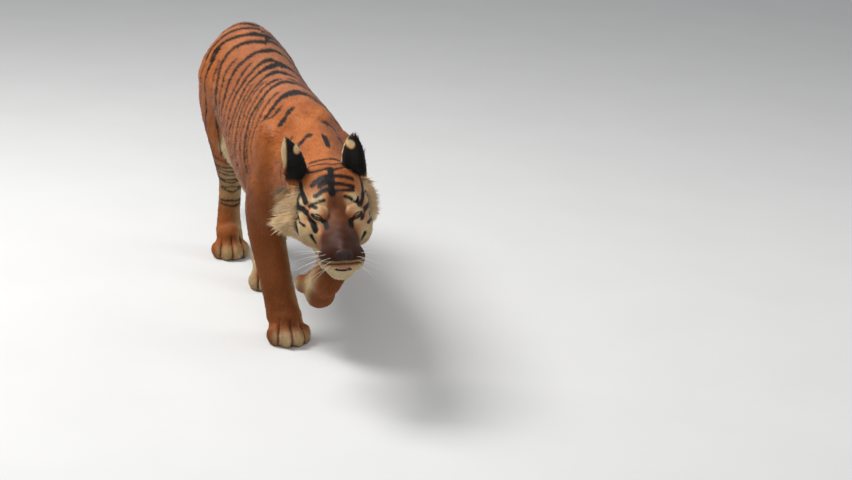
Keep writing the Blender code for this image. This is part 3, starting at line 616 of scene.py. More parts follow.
def tints(points, normals, owner, black):
    """Cream, deep brown with painted shade, and a painted grey sheen at each point of the hide, each from 0
    to 1.
    """
    x, y, z = points.T
    word, side, hind = owner_word[owner], owner_side[owner], hind_node[owner]
    q = to_head(points)
    wave = (np.sin(x * 61 + z * 47 + y * 13) + np.sin(y * 71 - z * 39 + 2)) * 0.5
    half_turn = np.abs(np.arctan2(x - axis_x, z - axis_z))
    head, ear = (word == "head") | (word == "jaw"), word == "ear"
    leg = np.isin(word, ("upper", "forearm", "paw", "thigh", "shank", "foot"))
    tail = np.isin(word, ("root", "middle", "end"))
    # cream
    cream = soft_step(half_turn, 1.95 + 0.1 * wave, 2.45) * np.isin(word, ("trunk", "neck"))
    fore_leg = leg & ~hind
    inward = -normals[:, 0] * side
    inner_leg = np.where(fore_leg, soft_step(inward, 0.72, 1.0), soft_step(inward, 0.3, 0.8))
    cream = np.maximum(cream, 0.8 * inner_leg * leg)
    shin = np.isin(word, ("shank", "foot")) & hind
    cream = np.maximum(cream, 0.75 * soft_step(-normals[:, 1], -0.3, 0.6) * shin * soft_step(z, 0.15, 0.20))
    toes = (word == "paw") & (z < 0.09)
    for low, high in paw_boxes:
        mine = toes & (points > low - 0.01).all(1) & (points < high + 0.01).all(1)
        tip = 1 - soft_step(y, low[1] + 0.022, low[1] + 0.050)
        tip = tip * (1 - soft_step(z, low[2] + 0.03, low[2] + 0.06))
        cream = np.where(mine, np.maximum(cream, 0.8 * tip), cream)
    cream = np.where(tail, 0.85 * soft_step(-normals[:, 2], 0.1, 0.8), cream)
    f = both_sides(q)
    pale = bump(f, (44, -2, 34), (17, 22, 15), 1400) + bump(f, (28, -24, 12), (5, 12, 13), 1100)
    pale += bump(f, (53, -28, 12), (15, 14, 9), 900)
    pale += bump(f, (92, 40, 20), (22, 40, 36), 1200) + bump(f, (84, 20, -44), (30, 50, 30), 1400)
    pale += bump(f, (62, -38, -48), (20, 30, 22), 1000) + bump(f, (50, -40, -14), (20, 14, 9), 700)
    pale += 1.2 * soft_step(-f[:, 2], 0.080, 0.100) * soft_step(-f[:, 1], -0.2, 0.0)
    pale += 1.0 * soft_step(-f[:, 2], 0.060, 0.105) * (f[:, 1] > -0.06)
    cream = np.where(head, np.clip(pale, 0, 1), cream)
    low_ear = np.where(side > 0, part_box("ear_left")[0].z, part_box("ear_right")[0].z) + 0.034
    spot = 0.9 * (1 - black) * soft_step(z, low_ear, low_ear + 0.02)
    cream = np.where(ear, np.maximum(1 - soft_step(-normals[:, 1], -0.15, 0.15), spot), cream)
    throat = (word == "neck") & (half_turn > 1.9)
    cream = np.where(throat, np.maximum(cream, soft_step(half_turn, 1.9, 2.3)), cream)
    # deep red brown: the muzzle's own colour; on the shoulders and forelegs painted shade, strongest low on
    # the leg; and a lighter wash of the brown on the lower hind legs
    muzzle = 0.60 * soft_step(-f[:, 1], -0.040, 0.015) + 0.40 * soft_step(-f[:, 1], 0.025, 0.115)
    muzzle *= soft_step(f[:, 2], -0.090, -0.080)
    muzzle *= 1 - soft_step(f[:, 0] - 0.36 * (-f[:, 1] + 0.004 * wave).clip(0), 0.012, 0.028)
    brown_and_painted_shade = np.where(head, np.clip(muzzle * 1.25, 0, 1), 0.0)
    cream = np.where(head, cream * (1 - np.clip(muzzle * 1.4, 0, 1)), cream)
    fore = np.isin(word, ("upper", "forearm", "paw")) & ~hind
    # painted shade on the forelegs and shoulders, darker towards the ground
    brown_and_painted_shade = np.where(fore, 0.42 + 0.1 * wave - 0.3 * soft_step(z, 0.40, 0.60), brown_and_painted_shade)
    brown_and_painted_shade = np.where(hind & (word != "thigh"), 0.20, brown_and_painted_shade)
    lip_edge = in_line(np.abs(f[:, 2] + 0.078 - 0.10 * (-f[:, 1] - 0.155)), 0.0024, 0.001)
    lip_edge = lip_edge * (f[:, 1] < -0.08)
    cream = np.where(head, np.maximum(cream, 0.8 * lip_edge), cream)
    # painted shade in the furrows between the toes: brown put in, cream taken out
    grooves = furrows(points)
    brown_and_painted_shade, cream = np.maximum(brown_and_painted_shade, 0.95 * grooves), cream * (1 - grooves)
    # painted sheen: a grey cast on the rust along the back, standing in for light glancing off the hair
    painted_sheen = np.exp(-(half_turn / 0.75) ** 2) * (word == "trunk") * soft_step(y, -0.30, -0.12)
    return np.stack([black, np.clip(cream, 0, 1), np.clip(brown_and_painted_shade, 0, 1), painted_sheen], 1)


def pale_fold(points):
    """The fold of loose skin before each thigh, whose long hair is white, from 0 to 1."""
    x, y, z = points.T
    folds = [((x - flank * 0.105) / 0.04) ** 2 + ((y - at) / 0.05) ** 2 + ((z - 0.385) / 0.06) ** 2
             for flank, at in ((-1, 0.262), (1, 0.20))]
    return sum(np.exp(-away) for away in folds)


def bare_skin(points):
    """Where no hair grows: the lids' edges, the lips, and under the nose."""
    q = to_head(points)
    bare = np.zeros(len(points))
    for centre, gaze, slant, up in eyes.values():
        away = points - centre
        ahead, across, height = away @ gaze, away @ slant, away @ up
        along = np.clip(across / 0.0185, -1, 1)
        gap = np.abs(height + SLIT_DROP + SLIT_BOW * (1 - along ** 2)) - 0.0042 * np.sqrt(1 - along ** 2)
        bare = np.maximum(bare, (gap < 0) * (ahead > 0) * (np.hypot(across, height) < 0.02))
    bare = np.maximum(bare, (beside(both_sides(q), lips) < 0.0022) * (q[:, 1] < 0))
    bare = np.maximum(bare, (lip_gap(q) < 0.0016) * (q[:, 1] < -0.11) * (np.abs(q[:, 0] + 0.002) < 0.026))
    nose = (np.hypot(q[:, 0] / 0.0225, (q[:, 2] + 0.0605) / 0.0135) < 1) & (q[:, 1] < -0.125)
    return np.maximum(np.maximum(bare, nose), pads(points))


points, normals, edges = read(hide_mesh)
owner = owners(points)
hide_black = black_hair(points, normals, owner)
hide_marks = tints(points, normals, owner, hide_black)
on_head = np.isin(np.array(node_names)[owner], ("head", "lower_jaw", "ear_left", "ear_right"))
eased = spread(hide_marks, edges, 40)
smooth_part = ~on_head & (furrows(points) < 0.05)
hide_marks[smooth_part, 1:] = eased[smooth_part, 1:]
hide_marks[:, 1] = np.maximum(hide_marks[:, 1], soft_step(pale_fold(points), 0.15, 0.5))
hide_marks[:, 0] *= 1 - soft_step(pale_fold(points), 0.15, 0.5)
hide_bare = bare_skin(points)


def paint(mesh, name, values):
    """Stores four values at each point of a mesh under a name the finishes read."""
    layer = mesh.attributes.new(name, "FLOAT_COLOR", "POINT")
    layer.data.foreach_set("color", np.ascontiguousarray(values, np.float32).ravel())


paint(hide_mesh, "marks", hide_marks)
paint(hide_mesh, "lock", np.stack([hide_bare, hide_bare * 0 + 0.5, hide_bare * 0, hide_bare * 0 + 1], 1))


# ---- The coat's colours and painted light ----
# One group mixes the coat's colours from the markings: rust, red brown that is partly painted shade, cream,
# a painted grey sheen and black hair, each broken up by fine streaks as real hair is, and darker at the
# roots.
def new_group(name, inputs, outputs):
    group = bpy.data.node_groups.new(name, "ShaderNodeTree")
    for label, kind, value in inputs:
        socket = group.interface.new_socket(label, in_out="INPUT", socket_type=kind)
        if value is not None:
            socket.default_value = value
    for label, kind in outputs:
        group.interface.new_socket(label, in_out="OUTPUT", socket_type=kind)
    return group, group.nodes.new("NodeGroupInput"), group.nodes.new("NodeGroupOutput")


def mixed(tree, factor, a, b, blend="MIX"):
    """A colour mix of two sockets or colours; the factor is a socket or a number."""
    mix = tree.nodes.new("ShaderNodeMix")
    mix.data_type, mix.blend_type = "RGBA", blend
    for index, value in ((0, factor), (6, a), (7, b)):
        if isinstance(value, bpy.types.NodeSocket):
            tree.links.new(value, mix.inputs[index])
        else:
            mix.inputs[index].default_value = value
    return mix.outputs[2]


def noise_of(tree, place, scale, detail=3.0):
    noise = tree.nodes.new("ShaderNodeTexNoise")
    noise.inputs["Scale"].default_value = scale
    noise.inputs["Detail"].default_value = detail
    tree.links.new(place, noise.inputs["Vector"])
    return noise.outputs["Fac"]


def ranged(tree, value, low, high, new_low=0.0, new_high=1.0):
    step = tree.nodes.new("ShaderNodeMapRange")
    tree.links.new(value, step.inputs["Value"])
    for label, number in (("From Min", low), ("From Max", high), ("To Min", new_low), ("To Max", new_high)):
        step.inputs[label].default_value = number
    return step.outputs["Result"]


coat_colours_and_painted_light, colours_in, colours_out = new_group(
    "Coat colours and painted light",
    [("Marks", "NodeSocketColor", None), ("Painted sheen", "NodeSocketFloat", 0.0),
     ("Place", "NodeSocketVector", None),
     ("Shade", "NodeSocketFloat", 0.5), ("Streak scale", "NodeSocketFloat", 420.0)],
    [("Color", "NodeSocketColor"), ("Streaks", "NodeSocketFloat")])
split = coat_colours_and_painted_light.nodes.new("ShaderNodeSeparateColor")
coat_colours_and_painted_light.links.new(colours_in.outputs["Marks"], split.inputs["Color"])
streaks = noise_of(coat_colours_and_painted_light, colours_in.outputs["Place"], 420.0, 2.0)
coat_colours_and_painted_light.links.new(colours_in.outputs["Streak scale"], streaks.node.inputs["Scale"])
patches = noise_of(coat_colours_and_painted_light, colours_in.outputs["Place"], 14.0, 4.0)
rust = mixed(coat_colours_and_painted_light, ranged(coat_colours_and_painted_light, patches, 0.35, 0.65), (0.36, 0.098, 0.020, 1), (0.47, 0.145, 0.034, 1))
# the blue channel mixes in dark red brown: the muzzle's own colour, and painted shade on the legs and in the
# toe furrows
rust = mixed(coat_colours_and_painted_light, split.outputs["Blue"], rust, (0.105, 0.032, 0.013, 1))
# the alpha channel greys the rust with (0.26, 0.18, 0.15): a painted sheen along the back
rust = mixed(coat_colours_and_painted_light, ranged(coat_colours_and_painted_light, colours_in.outputs["Painted sheen"], 0.0, 1.0, 0.0, 0.22), rust, (0.26, 0.18, 0.15, 1))
straw = mixed(coat_colours_and_painted_light, ranged(coat_colours_and_painted_light, patches, 0.35, 0.65), (0.62, 0.44, 0.20, 1), (0.72, 0.58, 0.35, 1))
tone = mixed(coat_colours_and_painted_light, split.outputs["Green"], rust, straw)
tone = mixed(coat_colours_and_painted_light, split.outputs["Red"], tone, (0.009, 0.007, 0.006, 1))
depth_share = ranged(coat_colours_and_painted_light, colours_in.outputs["Shade"], 0.0, 1.0)
shade = mixed(coat_colours_and_painted_light, depth_share, (0.62, 0.60, 0.58, 1), (1.18, 1.18, 1.18, 1))
tone = mixed(coat_colours_and_painted_light, 1.0, tone, shade, "MULTIPLY")
fine = mixed(coat_colours_and_painted_light, ranged(coat_colours_and_painted_light, streaks, 0.3, 0.7), (0.84, 0.84, 0.84, 1), (1.1, 1.1, 1.1, 1))
tone = mixed(coat_colours_and_painted_light, 1.0, tone, fine, "MULTIPLY")
coat_colours_and_painted_light.links.new(tone, colours_out.inputs["Color"])
coat_colours_and_painted_light.links.new(streaks, colours_out.inputs["Streaks"])


def new_finish(name, roughness, specular=0.5, sheen=0.0, coat=0.0):
    """A material with a Principled shader; returns it, its tree, the shader and the object's places."""
    finish = bpy.data.materials.new(name)
    finish.use_nodes = True
    tree = finish.node_tree
    shader = tree.nodes["Principled BSDF"]
    shader.inputs["Roughness"].default_value = roughness
    shader.inputs["Specular IOR Level"].default_value = specular
    shader.inputs["Sheen Weight"].default_value = sheen
    shader.inputs["Coat Weight"].default_value = coat
    place = tree.nodes.new("ShaderNodeTexCoord").outputs["Object"]
    return finish, tree, shader, place


def attribute(tree, name):
    node = tree.nodes.new("ShaderNodeAttribute")
    node.attribute_name = name
    return node


def bumped(tree, shader, height, strength, distance):
    bump_node = tree.nodes.new("ShaderNodeBump")
    bump_node.inputs["Strength"].default_value = strength
    bump_node.inputs["Distance"].default_value = distance
    tree.links.new(height, bump_node.inputs["Height"])
    tree.links.new(bump_node.outputs["Normal"], shader.inputs["Normal"])


def coat_finish(name, roughness, sheen, skin):
    finish, tree, shader, place = new_finish(name, roughness, 0.14, sheen)
    marks, lock = attribute(tree, "marks"), attribute(tree, "lock")
    colours_node = tree.nodes.new("ShaderNodeGroup")
    colours_node.node_tree = coat_colours_and_painted_light
    tree.links.new(marks.outputs["Color"], colours_node.inputs["Marks"])
    # the alpha of the marks is the painted sheen along the back
    tree.links.new(marks.outputs["Alpha"], colours_node.inputs["Painted sheen"])
    tree.links.new(place, colours_node.inputs["Place"])
    parts = tree.nodes.new("ShaderNodeSeparateColor")
    tree.links.new(lock.outputs["Color"], parts.inputs["Color"])
    color = colours_node.outputs["Color"]
    if skin:
        colours_node.inputs["Shade"].default_value = 0.35
        color = mixed(tree, parts.outputs["Red"], color, (0.018, 0.010, 0.009, 1))
        moist = ranged(tree, parts.outputs["Red"], 0, 1, roughness, 0.35)
        tree.links.new(moist, shader.inputs["Roughness"])
        bumped(tree, shader, noise_of(tree, place, 700.0, 2.0), 0.5, 0.0008)
    else:
        tree.links.new(parts.outputs["Green"], colours_node.inputs["Shade"])
    tree.links.new(color, shader.inputs["Base Color"])
    return finish


hide_mesh.materials.clear()
hide_mesh.materials.append(coat_finish("Hide", 0.7, 0.03, True))
coat_material = coat_finish("Coat", 0.50, 0.05, False)

# ---- The eyes ----
# Glass eyes with an amber ring and a round pupil, set behind the lids and looking at the ground.
AMBER, PUPIL = 0.0078, 0.0034
eye_finish, tree, shader, place = new_finish("Eye glass", 0.08, 0.6, coat=1.0)
ring = attribute(tree, "ring")
ring_parts = tree.nodes.new("ShaderNodeSeparateColor")
tree.links.new(ring.outputs["Color"], ring_parts.inputs["Color"])
rays = noise_of(tree, place, 900.0, 3.0)
amber = mixed(tree, rays, (0.07, 0.03, 0.008, 1), (0.22, 0.11, 0.02, 1))
white = mixed(tree, ring_parts.outputs["Red"], (0.10, 0.055, 0.04, 1), amber)
eye_color = mixed(tree, ring_parts.outputs["Green"], white, (0.004, 0.003, 0.003, 1))
tree.links.new(eye_color, shader.inputs["Base Color"])
for name, side in (("eye_left", 1), ("eye_right", -1)):
    centre, gaze, slant, up = eyes[side]
    bm = bmesh.new()
    bmesh.ops.create_uvsphere(bm, u_segments=40, v_segments=28, radius=EYE_RADIUS,
                              matrix=Matrix.Translation(Vector(centre)))
    ball_mesh = bpy.data.meshes.new(name + "_glass")
    bm.to_mesh(ball_mesh)
    bm.free()
    for polygon in ball_mesh.polygons:
        polygon.use_smooth = True
    points, _, _ = read(ball_mesh)
    look = unit(gaze - 0.42 * up)
    from_look = np.linalg.norm(unit(points - centre) - look, axis=1) * EYE_RADIUS
    amber_mask, pupil_mask = in_line(from_look, AMBER, 0.0006), in_line(from_look, PUPIL, 0.0005)
    paint(ball_mesh, "ring", np.stack([amber_mask, pupil_mask, pupil_mask * 0, pupil_mask * 0 + 1], 1))
    ball_mesh.materials.append(eye_finish)
    ball = bpy.data.objects.new(name + "_glass", ball_mesh)
    bpy.context.scene.collection.objects.link(ball)
    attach(ball, "root")
    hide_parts(name)

# ---- The nose ----
# The bare leather of the nose: a broad pad with two comma-shaped nostrils and a groove between.
NOSE_RADII = (0.0235, 0.0125, 0.0145)
bm = bmesh.new()
bmesh.ops.create_uvsphere(bm, u_segments=72, v_segments=48, radius=1.0)
nose_mesh = bpy.data.meshes.new("nose_leather")
bm.to_mesh(nose_mesh)
bm.free()
ball, _, _ = read(nose_mesh)
form = ball * np.array(NOSE_RADII)
form[:, 0] *= 1 - 0.32 * soft_step(-ball[:, 2], -0.2, 1.0)
push = 0.0060 * np.exp(-(((np.abs(ball[:, 0]) - 0.46) / 0.20) ** 2 + ((ball[:, 2] + 0.18) / 0.26) ** 2))
push += 0.0030 * np.exp(-(((np.abs(ball[:, 0]) - 0.80) / 0.16) ** 2 + ((ball[:, 2] + 0.02) / 0.16) ** 2))
push += 0.0025 * np.exp(-((ball[:, 0] / 0.06) ** 2)) * soft_step(-ball[:, 2], 0.0, 0.5)
form[:, 1] += push * (ball[:, 1] < 0)
write(nose_mesh, from_head(form + np.array([0, -0.1470, -0.0600])))
for polygon in nose_mesh.polygons:
    polygon.use_smooth = True
nose_finish, tree, shader, place = new_finish("Nose leather", 0.52, 0.18)
grain = noise_of(tree, place, 1100.0, 2.0)
leather = mixed(tree, grain, (0.017, 0.009, 0.008, 1), (0.045, 0.021, 0.017, 1))
tree.links.new(leather, shader.inputs["Base Color"])
bumped(tree, shader, grain, 0.5, 0.0006)
nose_mesh.materials.append(nose_finish)
nose = bpy.data.objects.new("nose_leather", nose_mesh)
bpy.context.scene.collection.objects.link(nose)
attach(nose, "root")
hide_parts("nose")

# ---- The tongue ----
# The tip of the tongue shows pink between the parted lips, moist and softly furrowed.
bm = bmesh.new()
bmesh.ops.create_uvsphere(bm, u_segments=48, v_segments=32, radius=1.0)
tongue_mesh = bpy.data.meshes.new("tongue_tip")
bm.to_mesh(tongue_mesh)
bm.free()
ball, _, _ = read(tongue_mesh)
form = ball * np.array([0.0225, 0.016, 0.0062])
form[:, 2] -= 0.0012 * np.exp(-(ball[:, 0] / 0.18) ** 2) * (ball[:, 2] > 0)
write(tongue_mesh, from_head(form + np.array([-0.002, -0.1365, -0.0985])))
for polygon in tongue_mesh.polygons:
    polygon.use_smooth = True
tongue_finish, tree, shader, place = new_finish("Tongue flesh", 0.35, 0.5, coat=0.3)
buds = noise_of(tree, place, 800.0, 2.0)
tree.links.new(mixed(tree, buds, (0.42, 0.12, 0.11, 1), (0.62, 0.24, 0.22, 1)), shader.inputs["Base Color"])
bumped(tree, shader, buds, 0.4, 0.0005)
tongue_mesh.materials.append(tongue_finish)
tongue = bpy.data.objects.new("tongue_tip", tongue_mesh)
bpy.context.scene.collection.objects.link(tongue)
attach(tongue, "root")
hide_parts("tongue")

# ---- The lie of the coat ----
# Hair lies back from the nose over the face, back along the body, down the legs and forward over the
# toes. Its length runs from a few millimetres on the face to long fringes on belly and cheeks.
HAIR_LENGTH = {"head": 9.5, "lower_jaw": 11, "neck": 21, "trunk": 18, "tail_root": 17, "tail_middle": 17,
               "tail_end": 17, "upper": 16, "thigh": 16, "forearm": 12, "shank": 12, "foot": 11, "paw": 8,
               "ear_left": 5.5, "ear_right": 5.5}
LIE = {  # the way the tips point, in the room's axes
    "neck": (0, 1, -0.10), "trunk": (0, 1, -0.22), "ear_left": (0, 0, 1), "ear_right": (0, 0, 1),
    "tail_root": (0.02, 0.35, -1), "tail_middle": (0.1, 0.75, -0.7), "tail_end": (0.1, 1, 0.1),
    "fore_right_upper": (0, 0.35, -1), "fore_left_upper": (0, 0.30, -1),
    "fore_right_forearm": (0, 0.05, -1), "fore_left_forearm": (-0.3, -0.35, -1),
    "fore_right_paw": (0, -0.7, -0.6), "fore_left_paw": (-0.5, 0.5, -0.7),
    "hind_right_thigh": (0, 0.45, -1), "hind_left_thigh": (0, 0.30, -1),
    "hind_right_shank": (0, 0.30, -1), "hind_left_shank": (0, 0.10, -1),
    "hind_right_foot": (0, -0.10, -1), "hind_left_foot": (0, -0.30, -1),
    "hind_right_paw": (0, -0.7, -0.6), "hind_left_paw": (0, -0.7, -0.6)}
points, normals, edges = read(hide_mesh)
away_from_nose = unit(points - from_head([0, -0.150, -0.050]))
lie_rows = np.array([LIE.get(n, (0, 1, 0)) for n in node_names], float)
lie = unit(lie_rows)[owner]
on_head = np.isin(np.array(node_names)[owner], ("head", "lower_jaw"))
lie[on_head] = away_from_nose[on_head]
neck_part = np.array(node_names)[owner] == "neck"
lie[neck_part] = unit(0.5 * lie[neck_part] + 0.5 * away_from_nose[neck_part])
lie = spread(lie, edges, 30)
lie -= normals * (lie * normals).sum(1)[:, None]
lie = unit(lie)
q = to_head(points)
f = both_sides(q)
length = per_node(HAIR_LENGTH, 9.0, owner)
cheek_and_chin = bump(f, (88, 40, -20), (34, 50, 50), 14000) + bump(f, (0, -110, -150), (40, 40, 24), 2500)
length += on_head * cheek_and_chin
is_ear = np.isin(np.array(node_names)[owner], ("ear_left", "ear_right"))
length += 10 * is_ear * soft_step(normals[:, 1], -0.1, 0.5)
for name in ("ear_left", "ear_right"):
    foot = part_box(name)[0].z
    length += 7 * is_ear * (1 - soft_step(points[:, 2], foot + 0.02, foot + 0.055))
length -= on_head * 5.0 * soft_step(-f[:, 1], 0.02, 0.10) * soft_step(f[:, 2], -0.10, -0.08)
length = np.where(on_head, np.maximum(length - bump(f, (46, -26, 0), (24, 20, 18), 6000), 2.6), length)
x, y, z = points.T
turned = np.abs(np.arctan2(x - axis_x, z - axis_z))
belly = (np.array(node_names)[owner] == "trunk") * soft_step(turned, 2.3, 2.8)
length += 16 * belly
length += 30 * pale_fold(points)
length = spread(length, edges, 6)
rough_depth = spread(per_node(FUR_DEPTH, 3.0, owner), edges, 25)
lift = np.clip(rough_depth / length, 0.12, 0.42)
thick = 1 - hide_bare

# ---- The locks ----
# The coat itself: many thousand small solid locks, each a flattened spike of hair rooted in the hide
# and lying along the coat, wider at the root and drawn to a point.
hide_mesh.calc_loop_triangles()
triangles = np.empty(len(hide_mesh.loop_triangles) * 3, int)
hide_mesh.loop_triangles.foreach_get("vertices", triangles)
triangles = triangles.reshape(-1, 3)
corners = points[triangles]
area = np.linalg.norm(np.cross(corners[:, 1] - corners[:, 0], corners[:, 2] - corners[:, 0]), axis=1) / 2
crop = area * thick[triangles].min(1) / length[triangles].mean(1) ** 1.25
triangle_owner = owner[triangles[:, 0]]
triangle_middle = corners.mean(1)
LOCK_FACES = np.array([(0, 3, 2), (1, 2, 3), (0, 2, 1), (0, 1, 3)])
SWIRL = 0.16  # how far the lie wanders either way, radians
WIDEST_AT, ROOTED = 0.022, 0.0008  # the length past which locks grow no wider, and their depth in the hide
LOCK_PATCH = np.array([(-0.0014, -0.0014), (0.0014, -0.0014), (0.0, 0.0), (0.0, 0.0016)])


def unwrapped(places, upright):
    """Each root's place on the unrolled hide, from 0 to 1 both ways, round the piece's own axis."""
    middle_place = places.mean(0)
    away = places - middle_place
    if upright:
        main = np.array([0.0, 0.0, 1.0])
    else:
        main = np.linalg.eigh(away.T @ away)[1][:, 2]
    side_axis = unit(np.cross(main, [0.31, 0.59, 0.74]))
    other = np.cross(main, side_axis)
    run, a, b = away @ main, away @ side_axis, away @ other
    heading = math.atan2(b.mean() + 1e-9, a.mean() + 1e-9)
    round_it = (np.arctan2(b, a) - heading + math.pi) % (2 * math.pi)
    uv = np.stack([run, round_it], 1)
    low, high = uv.min(0), uv.max(0)
    return 0.01 + 0.98 * (uv - low) / np.maximum(high - low, 1e-9)


def set_coat(name, roots, root_normals, root_lie, root_length, root_lift, marks, root_owner, seed,
             upright=False, width=0.20, paleness=0.55):
    """Builds one piece of the coat from arrays of roots, as solid four-sided locks."""
    rng = np.random.default_rng(seed)
    count = len(roots)
    across = unit(np.cross(root_normals, root_lie))
    swirl = SWIRL * np.sin(roots @ np.array([31.0, 53.0, 47.0]) * 3.1)
    swirl += SWIRL * np.sin(roots @ np.array([-57.0, 29.0, 61.0]) * 2.3)
    swirl += rng.normal(0, 0.13, count)
    ahead = unit(root_lie * np.cos(swirl)[:, None] + across * np.sin(swirl)[:, None])
    across = unit(np.cross(root_normals, ahead))
    reach = root_length * rng.uniform(0.78, 1.18, count)
    rise = root_lift * rng.uniform(0.75, 1.12, count)
    half = 0.5 * width * np.minimum(root_length, WIDEST_AT) * rng.uniform(0.8, 1.25, count)
    tip = roots + (ahead * np.sqrt(1 - rise ** 2)[:, None] + root_normals * rise[:, None]) * reach[:, None]
    tip[:, 2] = np.maximum(tip[:, 2], 0.0008)
    base = roots - root_normals * ROOTED
    ridge = base + (tip - base) * 0.42 + root_normals * (reach * 0.085 + 0.0006)[:, None]
    verts = np.stack([base - across * half[:, None], base + across * half[:, None], ridge, tip], 1)
    soft = np.stack([unit(root_normals - 0.55 * across), unit(root_normals + 0.55 * across),
                     unit(root_normals + 0.15 * ahead), unit(root_normals + 0.35 * ahead)], 1)
    faces = (np.arange(count) * 4)[:, None, None] + LOCK_FACES
    mesh = bpy.data.meshes.new(name)
    mesh.vertices.add(count * 4)
    mesh.vertices.foreach_set("co", verts.ravel())
    mesh.loops.add(count * 12)
    mesh.loops.foreach_set("vertex_index", faces.ravel())
    mesh.polygons.add(count * 4)
    mesh.polygons.foreach_set("loop_start", np.arange(count * 4) * 3)
    mesh.polygons.foreach_set("use_smooth", np.ones(count * 4, bool))
    mesh.update(calc_edges=True)
    patch = unwrapped(roots, upright)[:, None, :] + LOCK_PATCH
    uv = mesh.uv_layers.new(name="OFBake")
    uv.data.foreach_set("uv", patch[:, LOCK_FACES.ravel()].ravel().astype(np.float32))
    shade = np.clip(rng.normal(paleness, 0.17, count), 0, 1.25)
    marks = marks if len(marks) == 4 * count else np.repeat(marks, 4, 0)
    if root_owner is not None:
        shown = [roots + ahead * (reach * share)[:, None] for share in (0.35, 0.85)]
        black = [np.clip(black_hair(spot, root_normals, root_owner) - pale_fold(spot), 0, 1)
                 for spot in shown]
        marks[:, 0] = np.stack([black[0], black[0], black[0], black[1]], 1).ravel()
    paint(mesh, "marks", marks)
    ends = np.tile([0.30, 0.30, 0.80, 1.0], count)
    tones = np.clip(np.repeat(shade, 4) * (0.45 + 0.6 * ends), 0, 1.2)
    paint(mesh, "lock", np.stack([ends, tones, ends * 0, ends * 0 + 1], 1))
    mesh.normals_split_custom_set_from_vertices(soft.reshape(-1, 3).tolist())
    mesh.materials.append(coat_material)
    coat = bpy.data.objects.new(name, mesh)
    bpy.context.scene.collection.objects.link(coat)
    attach(coat, "root")
    return coat


def rooted(chosen, count, seed):
    """Roots spread evenly over the chosen triangles, with everything the hide says at each."""
    rng = np.random.default_rng(seed)
    share = np.cumsum(crop * chosen)
    count = count
    picks = np.searchsorted(share, (np.arange(count) + rng.uniform(0, 1, count)) / count * share[-1])
    picks = np.minimum(picks, len(share) - 1)
    a, b = rng.uniform(0, 1, (2, count))
    flip = a + b > 1
    a[flip], b[flip] = 1 - a[flip], 1 - b[flip]
    weights = np.stack([1 - a - b, a, b], 1)
    rows = triangles[picks]

    def blend(values):
        return (values[rows] * (weights[..., None] if values.ndim > 1 else weights)).sum(1)

    return (blend(points), unit(blend(normals)), unit(blend(lie)), blend(length) / 1000, blend(lift),
            blend(hide_marks), owner[rows[:, 0]])


def is_name(*names):
    return np.isin(np.array(node_names)[triangle_owner], names)


head_y = to_head(triangle_middle)[:, 1]
right_half = triangle_middle[:, 0] < axis_x
COAT_PIECES = (  # name, triangles it covers, number of locks, unrolled about the upright
    ("coat_face", is_name("head", "lower_jaw") & (head_y < 0.02), 41000, True),
    ("coat_crown", is_name("head", "lower_jaw") & (head_y >= 0.02), 22000, True),
    ("coat_neck", is_name("neck"), 17000, False),
    ("coat_trunk_right", is_name("trunk") & right_half, 31000, False),
    ("coat_trunk_left", is_name("trunk") & ~right_half, 31000, False),
    ("coat_fore_right_upper", is_name("fore_right_upper"), 8000, False),
    ("coat_fore_right_lower", is_name("fore_right_forearm"), 7500, False),
    ("coat_fore_right_paw", is_name("fore_right_paw"), 6500, False),
    ("coat_fore_left_upper", is_name("fore_left_upper"), 8000, False),
    ("coat_fore_left_lower", is_name("fore_left_forearm"), 7000, False),
    ("coat_fore_left_paw", is_name("fore_left_paw"), 5500, False),
    ("coat_hind_right_thigh", is_name("hind_right_thigh"), 9000, False),
    ("coat_hind_right_lower", is_name("hind_right_shank", "hind_right_foot"), 7000, False),
    ("coat_hind_right_paw", is_name("hind_right_paw"), 6000, False),
    ("coat_hind_left_thigh", is_name("hind_left_thigh"), 9000, False),
    ("coat_hind_left_lower", is_name("hind_left_shank", "hind_left_foot"), 7000, False),
    ("coat_hind_left_paw", is_name("hind_left_paw"), 6000, False),
    ("coat_tail", is_name("tail_root", "tail_middle", "tail_end"), 7000, False),
    ("coat_ear_left", is_name("ear_left"), 4000, False),
    ("coat_ear_right", is_name("ear_right"), 4000, False),
)
for seed, (name, chosen, count, upright) in enumerate(COAT_PIECES):
    set_coat(name, *rooted(chosen, count, seed), seed + 100, upright)

